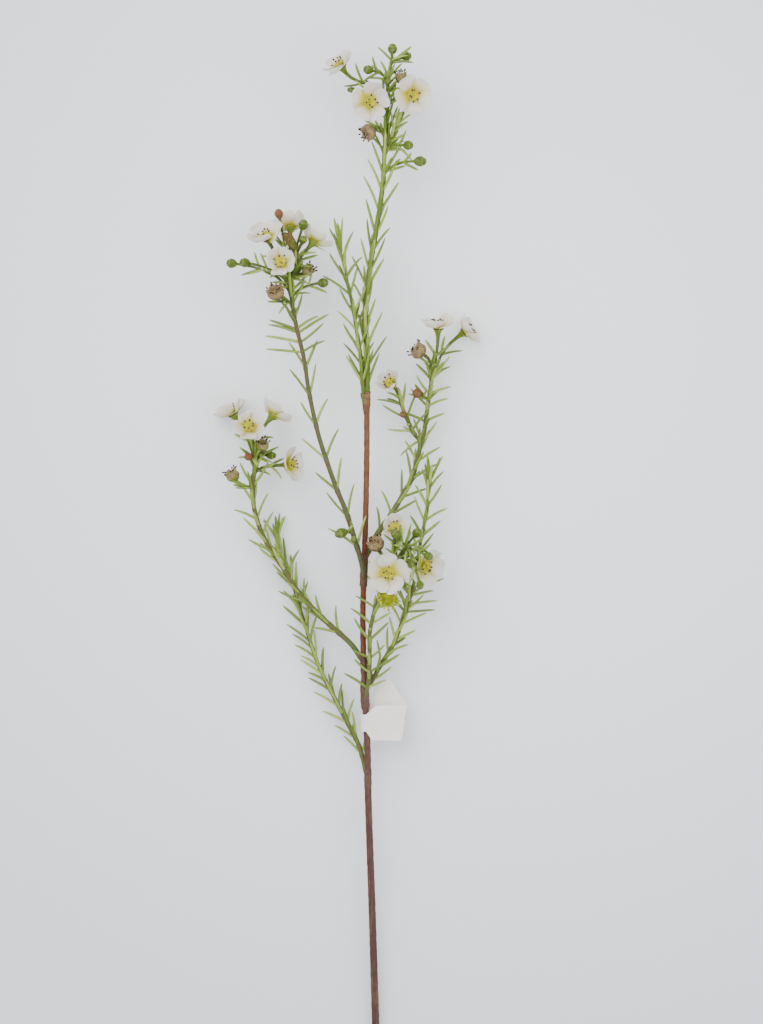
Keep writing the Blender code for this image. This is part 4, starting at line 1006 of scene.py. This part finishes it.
def stem_radius(y):
    for (low, r_low), (high, r_high) in zip(STEM_RADII, STEM_RADII[1:]):
        if y <= high:
            return r_low + (r_high - r_low) * (y - low) / (high - low)
    return STEM_RADII[-1][1]


def wrap_at(y):
    """How much of a wrap there is at a level, with soft ends, and its added thickness."""
    share, added = 0.0, 0.0
    for low, high, extra in WRAPS:
        ease = min(1.0, max(0.0, min(y - low, high - y) / WRAP_EASE))
        share = max(share, ease)
        added = max(added, extra * ease)
    return share, added


def spray_feet(routes):
    """The lower ends of the spray stems, as points with the radius that tape has to cover."""
    feet = []
    for name, table in SPRAYS.items():
        route = routes[name]
        for k in range(FOOT_REACH):
            distance = k * MM
            radius = spray_radius(table[1], route, distance) + TAPE_COVER
            feet.append((route.place(distance)[0], radius))
    return feet


def cover(arm, middle, feet):
    """Lengthens an arm from the stem's middle until it clears what the tape binds in there."""
    aim = arm.normalized()
    reach = arm.length / MM
    own = reach
    for point, radius in feet:
        offset = (point - middle) / MM
        if abs(offset.y) > BOUND_LEVEL or offset.length > BOUND_REACH:
            continue
        for part in (0.33, 0.67, 1.0):
            round_to = own + (radius - own) * part
            along = offset.dot(aim) * part
            beside = (offset * part).length_squared - along * along
            if beside < round_to * round_to:
                reach = max(reach, along + math.sqrt(round_to * round_to - beside))
    return aim * reach * MM


def make_main_stem(routes):
    """The wire wrapped in tape, whose edge winds up the stem as a low step."""
    route = route_of(STEM_ROUTE)
    marks = route.stations(STEM_STEP)
    points = [route.place(s)[0] for s in marks]
    levels = [p.y / MM - SHIFT.y for p in points]
    wraps = [wrap_at(y) for y in levels]
    radii = [stem_radius(y) + added for y, (_, added) in zip(levels, wraps)]
    radii[0] *= STEM_CUT
    feet = spray_feet(routes)

    def wind(ring, around, arm):
        wrapped = wraps[ring][0] > 0
        pitch = TAPE_PITCH * (WRAP_PITCH if wrapped else 1.0)
        ridge = (marks[ring] / MM / pitch + around) % 1.0
        wobble = STEM_WOBBLE * math.sin(marks[ring] / MM * 0.9 + around * math.tau * 2)
        step = TAPE_EDGE * (0.5 - ridge) * (WRAP_EDGE if wrapped else 1.0)
        arm = arm * (1 + (step + wobble) / radii[ring])
        return cover(arm, points[ring], feet) if wraps[ring][0] > 0.3 else arm
    obj = tube("taped_stem", points, radii, STEM_SIDES, form=wind)
    paint_tape(obj, points, [share for share, _ in wraps])
    finish_piece(obj, "taped_stem", "stem_tape", "main_stem")


def paint_tape(obj, points, shares):
    """Marks where the stem is bound again, and the dark line along the tape's winding edge."""
    tree = tree_of(points)
    run, wrap, edge = [], [], []
    for vert in obj.data.vertices:
        index = tree.find(vert.co)[1]
        arm = vert.co - points[index]
        around = math.atan2(arm.z, arm.x) / math.tau
        pitch = TAPE_PITCH * (WRAP_PITCH if shares[index] > 0 else 1.0)
        ridge = (points[index].y / MM / pitch + around) % 1.0
        run.append(index / (len(points) - 1))
        wrap.append(shares[index])
        edge.append(max(0.0, 1 - min(ridge, 1 - ridge) * 9))
    paint(obj.data, run, 0.0, wrap, edge)


def make_collar():
    """Tan tape wound round the feet of the two upper sprays, torn at its upper edge."""
    route = route_of(COLLAR_ROUTE)
    marks = route.stations(COLLAR_STEP)
    points = [route.place(s)[0] for s in marks]
    last = len(marks) - 1
    low, high = COLLAR_RADII
    radii = [low + (high - low) * s / route.length for s in marks]
    radii[0] *= COLLAR_FOOT

    def fold(ring, around, arm):
        part = ring / last
        ripple = (1 + 0.05 * math.sin(around * math.tau * 3 + part * 9)
                  + 0.04 * math.sin(part * 22 + around * math.tau))
        arm = Vector((arm.x * COLLAR_SQUASH, arm.y, arm.z)) * ripple
        torn = COLLAR_TEAR * MM * math.sin(around * math.tau * 4 + 1.0) * math.sin(around * math.tau * 7)
        return arm + Vector((0, torn * max(0.0, part - 0.75) * 4, 0))
    obj = tube("collar_tape", points, radii, COLLAR_SIDES, form=fold)
    run = []
    edges = []
    for vert in obj.data.vertices:
        part = (vert.co.y - points[0].y) / (points[-1].y - points[0].y)
        ridge = (part * COLLAR_TURNS + vert.co.x / MM * 0.09) % 1.0
        run.append(min(1.0, max(0.0, part)))
        edges.append(max(0.0, 1 - min(ridge, 1 - ridge) * 8))
    paint(obj.data, run, 0.0, 0.5, edges)
    finish_piece(obj, "collar_tape", "collar_tape", "collar")


def stalk_points(route, foot, direction):
    """A curved stalk from inside the spray's stem to a foot, which it meets head on."""
    near = route.nearest(foot)
    away = (route.place(near)[0] - foot).length
    start, along = route.place(near - STALK_LEAD * away)
    reach = (foot - start).length
    first = start + along * reach * STALK_OUT
    second = foot - unit(direction) * reach * STALK_IN
    points = []
    for k in range(STALK_STEPS + 1):
        t = k / STALK_STEPS
        points.append(start * (1 - t) ** 3 + first * 3 * t * (1 - t) ** 2
                      + second * 3 * t * t * (1 - t) + foot * t ** 3)
    return points


def spray_radius(radii, route, distance):
    """A spray stem's radius: the peg's at its foot, and then widening to its own."""
    full = radii[0] + (radii[1] - radii[0]) * distance / route.length
    peg = PEG_LENGTH * MM
    if distance <= peg:
        return PEG_RADIUS
    return min(full, PEG_RADIUS + (full - PEG_RADIUS) * (distance - peg) / (PEG_EASE * peg))


def pair_marks(route, habit):
    """Where the needle pairs grow, each with the length, slant and turn rule it follows."""
    marks = []
    for start, end, pitch, lengths, slants, quarter in habit:
        distance = start * MM
        while distance < min(end * MM, route.length - MM):
            marks.append((distance, lengths, slants, quarter))
            distance += pitch * MM * chance.uniform(*PAIR_UNEVEN)
    return marks


def spray_stem(name, route, radii, marks, shade):
    """A spray's stem, thicker and browner where each pair of needles grows."""
    stations = route.stations(SPRAY_STEP)
    points = [route.place(s)[0] for s in stations]
    widths = []
    browning = []
    for s in stations:
        near = min([abs(s - mark[0]) for mark in marks] or [1.0]) / MM
        swell = math.exp(-(near / NODE_REACH) ** 2)
        above_peg = s > PEG_LENGTH * MM * NODE_LOWEST
        widths.append(spray_radius(radii, route, s) * (1 + NODE_SWELL * swell * above_peg))
        browning.append(NODE_BROWN * swell * (1.4 - shade))
    return tube(name, points, widths, SPRAY_SIDES, shade, run=browning)


class NeedlePlacer:
    """Finds a clear place for each needle, away from all that other pieces fill."""

    def __init__(self):
        self.taken = []
        self.others = None
        self.tree = None

    def keep_clear_of(self, others):
        verts = []
        faces = []
        for obj in others:
            first = len(verts)
            verts.extend(v.co.copy() for v in obj.data.vertices)
            faces.extend([first + i for i in f.vertices] for f in obj.data.polygons)
        self.others = BVHTree.FromPolygons(verts, faces)

    def settle(self):
        """Counts the needles placed so far as in the way of the next."""
        self.tree = tree_of(self.taken)

    def clear(self, points):
        for number, point in enumerate(points):
            if point.z < NEEDLE_LOWEST * MM:
                return False
            if number > 0 and self.others.find_nearest(point, NEEDLE_CLEAR * MM)[0] is not None:
                return False
            if number > 1 and self.tree.find_range(point, NEEDLE_APART * MM):
                return False
        return True

    def place(self, centre, along, turn, length, slant, bend, width):
        """Where a needle goes, after other slants and turns if need be, or None."""
        side = along.cross(Vector((0, 0, 1))).normalized()
        up = side.cross(along)
        for slant_more in SLANT_TRIES:
            for turn_more in TURN_TRIES:
                angle = math.radians(turn + turn_more)
                out = side * math.cos(angle) + up * math.sin(angle)
                tilt = math.radians(slant + slant_more)
                aim = along * math.cos(tilt) + out * math.sin(tilt)
                across = along.cross(out).normalized()
                sweep = aim.cross(across)
                points = [centre + aim * (length * t * MM) + sweep * (bend * length * t * t * MM)
                          for t in NEEDLE_MARKS]
                if self.clear(points):
                    self.taken.extend(points[1:])
                    columns = (across * width * MM, sweep * width * MM, aim * length * MM)
                    turned_to = Matrix(columns).transposed().to_4x4()
                    turned_to.translation = centre
                    return turned_to
        return None


def needle_pair(placer, templates, centre, along, turn, lengths, slants):
    """Two needles on opposite sides, each left out where it finds no clear place. Templates
    bend by widths, so the placer gets the bend as a part of the length."""
    stamps = []
    for side in (0, 180):
        bend = chance.choice(sorted(templates))
        width = chance.uniform(*NEEDLE_WIDTH)
        length = chance.uniform(*lengths)
        turned_by = turn + side + chance.uniform(-SIDE_TURN, SIDE_TURN)
        placing = placer.place(centre, along, turned_by, length, chance.uniform(*slants),
                               bend * width / length, width)
        if placing is not None:
            stamps.append(stamp(templates[bend], placing, chance.random()))
    placer.settle()
    return stamps


def needle_stamps(route, marks, tufted, placer, templates):
    """Opposite pairs, each turned a quarter from the last, with a tuft at some tips."""
    stamps = []
    for number, (distance, lengths, slants, quarter) in enumerate(marks):
        centre, along = route.place(distance)
        turn = (90 * (number % 2) if quarter else 0) + chance.uniform(-PAIR_TURN, PAIR_TURN)
        if route.length - distance < TIP_REACH * MM:
            slants = (slants[0] * TIP_SLANTS[0], slants[1] * TIP_SLANTS[1])
        stamps.extend(needle_pair(placer, templates, centre, along, turn, lengths, slants))
    centre, along = route.place(route.length)
    for turn in TUFT_TURNS if tufted else ():
        stamps.extend(needle_pair(placer, templates, centre - along * MM, along, turn,
                                  marks[-1][1], TUFT_SLANTS))
    return stamps


def stalk_needles(points, placer, templates):
    """A pair or two of small needles on a side stalk that is long enough."""
    route = Route(points)
    stamps = []
    if route.length < STALK_SHORT * MM:
        return stamps
    parts = STALK_LONG_MARKS if route.length > STALK_LONG * MM else STALK_MARKS
    for number, part in enumerate(parts):
        centre, along = route.place(route.length * part)
        turn = 90 * number + chance.uniform(-STALK_TURN, STALK_TURN)
        stamps.extend(needle_pair(placer, templates, centre, along, turn,
                                  STALK_NEEDLES, STALK_SLANTS))
    return stamps


class Spray:
    """The pieces of one spray while it is put together."""

    def __init__(self, name, table):
        self.shade = table[2]
        self.routes = {name: route_of(table[0])}
        self.radii = {name: table[1]}
        self.marks = {}
        self.bones = []
        self.ends = []
        self.stalks = []
        self.needles = []

    def grow_stems(self):
        for part, route in self.routes.items():
            marks = pair_marks(route, NEEDLES.get(part, []))
            self.marks[part] = marks
            self.bones.append(spray_stem(part, route, self.radii[part], marks, self.shade))

    def add_stalk(self, part, foot, direction, radius):
        """A stalk to a foot, from this spray's stem or one of its branches."""
        points = stalk_points(self.routes[part], foot, direction)
        radii = [radius * (STALK_ENDS - STALK_WAIST * math.sin(math.pi * k / STALK_STEPS))
                 for k in range(STALK_STEPS + 1)]
        shade = 0.35 + 0.65 * self.shade
        self.bones.append(tube("stalk", points, radii, STALK_SIDES, shade, run=[0.0] * len(points)))
        self.stalks.append(points)
        return points


def grow_ends(sprays, owner_of, calyx, bud):
    """The stalks with what they carry: the cups of blooms, spent heads' stalks and buds."""
    for owner, middle, direction, _, _, turn in BLOOMS.values():
        spray = sprays[owner_of[owner]]
        foot = at(middle) - out_by(direction, CALYX_LENGTH + GAP + HUB_THICKNESS / 2)
        spray.add_stalk(owner, foot + out_by(direction, 1.0), direction, BLOOM_STALK)
        placing = facing(foot, direction, math.radians(turn + CALYX_TURN))
        spray.ends.append(stamp(calyx, placing, chance.uniform(0.3, 0.9)))
    for owner, foot, direction, *_ in HEADS.values():
        base = at(foot) - out_by(direction, SEAT)
        sprays[owner_of[owner]].add_stalk(owner, base, direction, HEAD_STALK)
    for owner, place, width, length, kind in BUDS:
        spray = sprays[owner_of[owner]]
        middle = at(place)
        route = spray.routes[owner]
        away = middle - route.place(route.nearest(middle))[0]
        points = spray.add_stalk(owner, middle, away, BUD_STALK)
        placing = facing(middle, points[-1] - points[-2], chance.uniform(0, 1))
        sizes = Matrix.Diagonal((width * MM, width * MM, length * MM, 1.0))
        spray.ends.append(stamp(bud, placing @ sizes, chance.random()))
        repaint(spray.ends[-1], KIND, KINDS[kind])


def make_sprays():
    """Each spray with its stem, needles, side branches, stalks, cups and buds as one piece."""
    templates = {bend: make_needle_template(bend) for bend in NEEDLE_BENDS}
    calyx = make_calyx_template()
    bud = make_bud_template()
    sprays = {name: Spray(name, table) for name, table in SPRAYS.items()}
    owner_of = {name: name for name in SPRAYS}
    for name, (owner, table, radii) in BRANCHES.items():
        sprays[owner].routes[name] = route_of(table)
        sprays[owner].radii[name] = radii
        owner_of[name] = owner
    for spray in sprays.values():
        spray.grow_stems()
    make_main_stem({name: spray.routes[name] for name, spray in sprays.items()})
    grow_ends(sprays, owner_of, calyx, bud)

    solid = [obj for name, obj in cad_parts.items() if "spray" not in name]
    placer = NeedlePlacer()
    for spray in sprays.values():
        others = [piece for other in sprays.values() if other is not spray
                  for piece in other.bones + other.ends]
        placer.keep_clear_of(solid + others + spray.ends)
        placer.settle()
        for part, marks in spray.marks.items():
            if marks:
                spray.needles.extend(needle_stamps(spray.routes[part], marks, part in TUFTED,
                                                   placer, templates))
        for points in spray.stalks:
            spray.needles.extend(stalk_needles(points, placer, templates))
    for name, spray in sprays.items():
        obj = joined(name + "_fine", spray.bones + spray.ends + spray.needles)
        finish_piece(obj, name + "_fine", "spray_green", name)
    retire(calyx, bud, *templates.values())


def make_blooms():
    """Each bloom as two pieces: petals on a hub, and the cup in it with its stamens."""
    cup_template = make_centre_cup_template()
    stamen = make_stamen_template(*STAMEN_SIZE)
    hub_template = turned("hub_template", 20, HUB_PROFILE, "cup")
    for name, (_, middle, direction, width, cup, turn) in BLOOMS.items():
        hub_foot = at(middle) - out_by(direction, HUB_THICKNESS / 2)
        placing = facing(hub_foot, direction, math.radians(turn))
        petals = [stamp(hub_template, placing)]
        for number in range(PETALS):
            petal = make_petal(width / 2 * chance.uniform(*PETAL_SIZES), cup)
            twist = turned_about("X", math.radians(chance.uniform(*PETAL_TWIST)))
            lift = turned_about("Y", math.radians(chance.uniform(*PETAL_LIFT)))
            shift = chance.uniform(-PETAL_SHIFT, PETAL_SHIFT)
            spin = turned_about("Z", math.tau * number / PETALS + shift)
            petal.data.transform(placing @ spin @ lift @ twist)
            petals.append(petal)
        obj = joined(name + "_petals_fine", petals)
        finish_piece(obj, name + "_petals_fine", "petal_white", name + "_petals")

        centre_foot = at(middle) + out_by(direction, HUB_THICKNESS / 2 + GAP)
        placing = facing(centre_foot, direction, math.radians(turn))
        pieces = [stamp(cup_template, placing)]
        for number in range(STAMENS):
            shift = chance.uniform(-STAMEN_SHIFT, STAMEN_SHIFT)
            spin = turned_about("Z", math.tau * (number + shift) / STAMENS)
            root = Matrix.Translation(Vector(STAMEN_FOOT) * MM)
            lean = turned_about("Y", math.radians(chance.uniform(*STAMEN_LEAN)))
            size = Matrix.Diagonal((1, 1, chance.uniform(*STAMEN_LENGTHS), 1))
            pieces.append(stamp(stamen, placing @ spin @ root @ lean @ size, chance.random()))
        obj = joined(name + "_centre_fine", pieces)
        finish_piece(obj, name + "_centre_fine", "centre_yellow", name + "_centre")
    retire(cup_template, stamen, hub_template)


def head_profile(width, length):
    """A spent head's outline at its size: it swells, closes a little and flares at its lobes."""
    rim = width / 2
    return [(HEAD_FOOT, 0.0)] + [(rim * radius, length * part) for radius, part in HEAD_OUTLINE]


def make_heads():
    """Cups that have lost their petals, lumpy and dry, with lobes and stamens left."""
    stamen = make_stamen_template(*HEAD_STAMEN_SIZE)
    for name, (_, foot, direction, width, length, look) in HEADS.items():
        phase = chance.uniform(0, math.tau)

        def shape(radius, height, angle, run):
            swell = max(0.0, min(1.0, (run - 0.1) * 3.0))
            wave = math.cos(angle * 5)
            flare = max(0.0, 1 - abs(run - 0.58) * 7)
            lumps = 0.07 * math.sin(angle * 6 + run * 17 + phase) + 0.06 * math.sin(angle * 11 - run * 23)
            return radius * (1 + (0.20 * wave * flare + lumps) * swell), height + 1.1 * wave * flare
        cup = turned(name + "_cup", HEAD_SIDES, head_profile(width, length), "cup", shape)
        placing = facing(at(foot) + out_by(direction, GAP), direction)
        cup.data.transform(placing)
        pieces = [cup]
        fresh = name in FRESH_HEADS
        if fresh:
            count, leans, thick = FRESH_STAMENS, FRESH_LEAN, FRESH_THICKNESS
        else:
            count = BROAD_STAMENS if width > BROAD_HEAD else NARROW_STAMENS
            leans, thick = DRY_LEAN, 1.0
        out, up = HEAD_STAMEN_FOOT
        for number in range(count):
            shift = chance.uniform(-HEAD_STAMEN_SHIFT, HEAD_STAMEN_SHIFT)
            spin = turned_about("Z", math.tau * (number + shift) / count)
            root = Matrix.Translation(Vector((width * out, 0, length * up)) * MM)
            lean = turned_about("Y", math.radians(chance.uniform(*leans)))
            size = Matrix.Diagonal((thick, thick, chance.uniform(*HEAD_STAMEN_LENGTHS), 1))
            pieces.append(stamp(stamen, placing @ spin @ root @ lean @ size))
        obj = joined(name + "_fine", pieces)
        repaint(obj, SHADE, 1.0 if fresh else 0.5)
        finish_piece(obj, name + "_fine", look, name)
    retire(stamen)


def level_on(outline, x):
    """The height of a broken line at x."""
    for (x_low, y_low), (x_high, y_high) in zip(outline, outline[1:]):
        if x <= x_high:
            return y_low + (y_high - y_low) * max(0.0, x - x_low) / (x_high - x_low)
    return outline[-1][1]


def make_label():
    """A paper strip folded round the stem's left side: a front leaf and a pointed back one."""
    axis_x, _, axis_z = LABEL_AXIS
    bend = math.pi * LABEL_RADIUS
    front = LABEL_FRONT_REACH - axis_x
    back = LABEL_BACK_REACH - axis_x
    whole = front + bend + back
    deselect()
    bpy.ops.mesh.primitive_grid_add(
        x_subdivisions=LABEL_CUTS[0], y_subdivisions=LABEL_CUTS[1], size=1.0)
    obj = bpy.context.view_layer.objects.active
    for vert in obj.data.vertices:
        along = (vert.co.x + 0.5) * whole
        share = vert.co.y + 0.5
        if along < front:
            x = LABEL_FRONT_REACH - along
            low, high = level_on(LABEL_FRONT_LOW, x), level_on(LABEL_FRONT_HIGH, x)
            y = low + (high - low) * share
            corner = LABEL_CORNER * (1 - share) ** 6 if along < LABEL_CORNER_REACH else 0
            x -= LABEL_SLANT * (1 - share) * (front - along) / front + corner
            wave = LABEL_WAVE * math.sin(y * LABEL_WAVE_PITCH) * (front - along) / front
            lift = LABEL_LIFT * ((front - along) / front) ** 2 + wave
            place = (x, y, axis_z + LABEL_RADIUS + lift)
        elif along < front + bend:
            angle = math.pi / 2 + (along - front) / LABEL_RADIUS
            low, high = LABEL_NECK
            crease = LABEL_CREASE * math.sin(share * 9 + angle * 2) * math.sin(angle - math.pi / 2)
            reach = LABEL_RADIUS + crease
            place = (axis_x + reach * math.cos(angle), low + (high - low) * share,
                     axis_z + reach * math.sin(angle))
        else:
            x = axis_x + along - front - bend
            low, high = level_on(LABEL_BACK_LOW, x), level_on(LABEL_BACK_HIGH, x)
            drop = LABEL_DROP * ((along - front - bend) / back) ** 2
            place = (x, low + (high - low) * share, axis_z - LABEL_RADIUS - drop)
        vert.co = at(place)
    weld(0.00002, face_out=True)
    shell = obj.modifiers.new("paper", "SOLIDIFY")
    shell.thickness = LABEL_PAPER * MM
    shell.offset = 0.0
    apply_modifiers(obj)
    paint(obj.data, 0.5, 0.0)
    deselect()
    obj.select_set(True)
    bpy.ops.object.shade_smooth_by_angle(angle=math.radians(40))
    finish_piece(obj, "folded_label", "label_paper", "label")


def make_stage():
    """The pale floor, coloured with a painted pool of light that turns to painted shade towards its far
    corners, and the soft studio light.
    """
    deselect()
    bpy.ops.mesh.primitive_plane_add(size=FLOOR_SIZE, location=(0, 0, -FLOOR_DROP))
    floor = bpy.context.view_layer.objects.active
    floor.name = "floor"
    made, tree, shader = new_material("pale_floor", 0.9, 0.1)
    place = tree.nodes.new("ShaderNodeTexCoord").outputs["Object"]
    away = tree.nodes.new("ShaderNodeVectorMath")
    away.operation = "DISTANCE"
    away.inputs[1].default_value = FLOOR_LIGHT_POOL_MIDDLE
    tree.links.new(place, away.inputs[0])
    # Painted light: the floor's colour is brightest at one place and darker away from it, painted shade
    # towards the corners.
    colour = ramp_node(tree, away.outputs["Value"], [(0.1, (0.86, 0.87, 0.905)),
                                                     (0.5, (0.64, 0.65, 0.69))])
    tree.links.new(colour, shader.inputs["Base Color"])
    floor.data.materials.append(made)

    for name, (place, size, power) in LAMPS.items():
        light = bpy.data.lights.new(name, "AREA")
        light.size = size
        light.energy = power
        holder = bpy.data.objects.new(name, light)
        holder.location = place
        aim = Vector((0, 0, 0)) - Vector(place)
        holder.rotation_euler = aim.to_track_quat("-Z", "Y").to_euler()
        bpy.context.scene.collection.objects.link(holder)
    world = bpy.data.worlds.new("studio")
    world.use_nodes = True
    sky = world.node_tree.nodes["Background"]
    sky.inputs["Color"].default_value = SKY_COLOUR
    sky.inputs["Strength"].default_value = SKY_STRENGTH
    bpy.context.scene.world = world


def make_camera():
    """Straight above, at the photograph's scale and with its middle."""
    long_side = PHOTO_PIXELS[1] * PIXEL * MM
    reach = long_side * LENS / SENSOR
    data = bpy.data.cameras.new("camera")
    data.lens = LENS
    data.sensor_width = SENSOR
    data.clip_end = CAMERA_SIGHT
    camera = bpy.data.objects.new("camera", data)
    camera.location = (PHOTO_MIDDLE[0] * MM, PHOTO_MIDDLE[1] * MM, reach + FOCUS_HEIGHT * MM)
    bpy.context.scene.collection.objects.link(camera)
    bpy.context.scene.camera = camera


make_camera()
make_stage()
make_collar()
make_label()
make_sprays()
make_blooms()
make_heads()
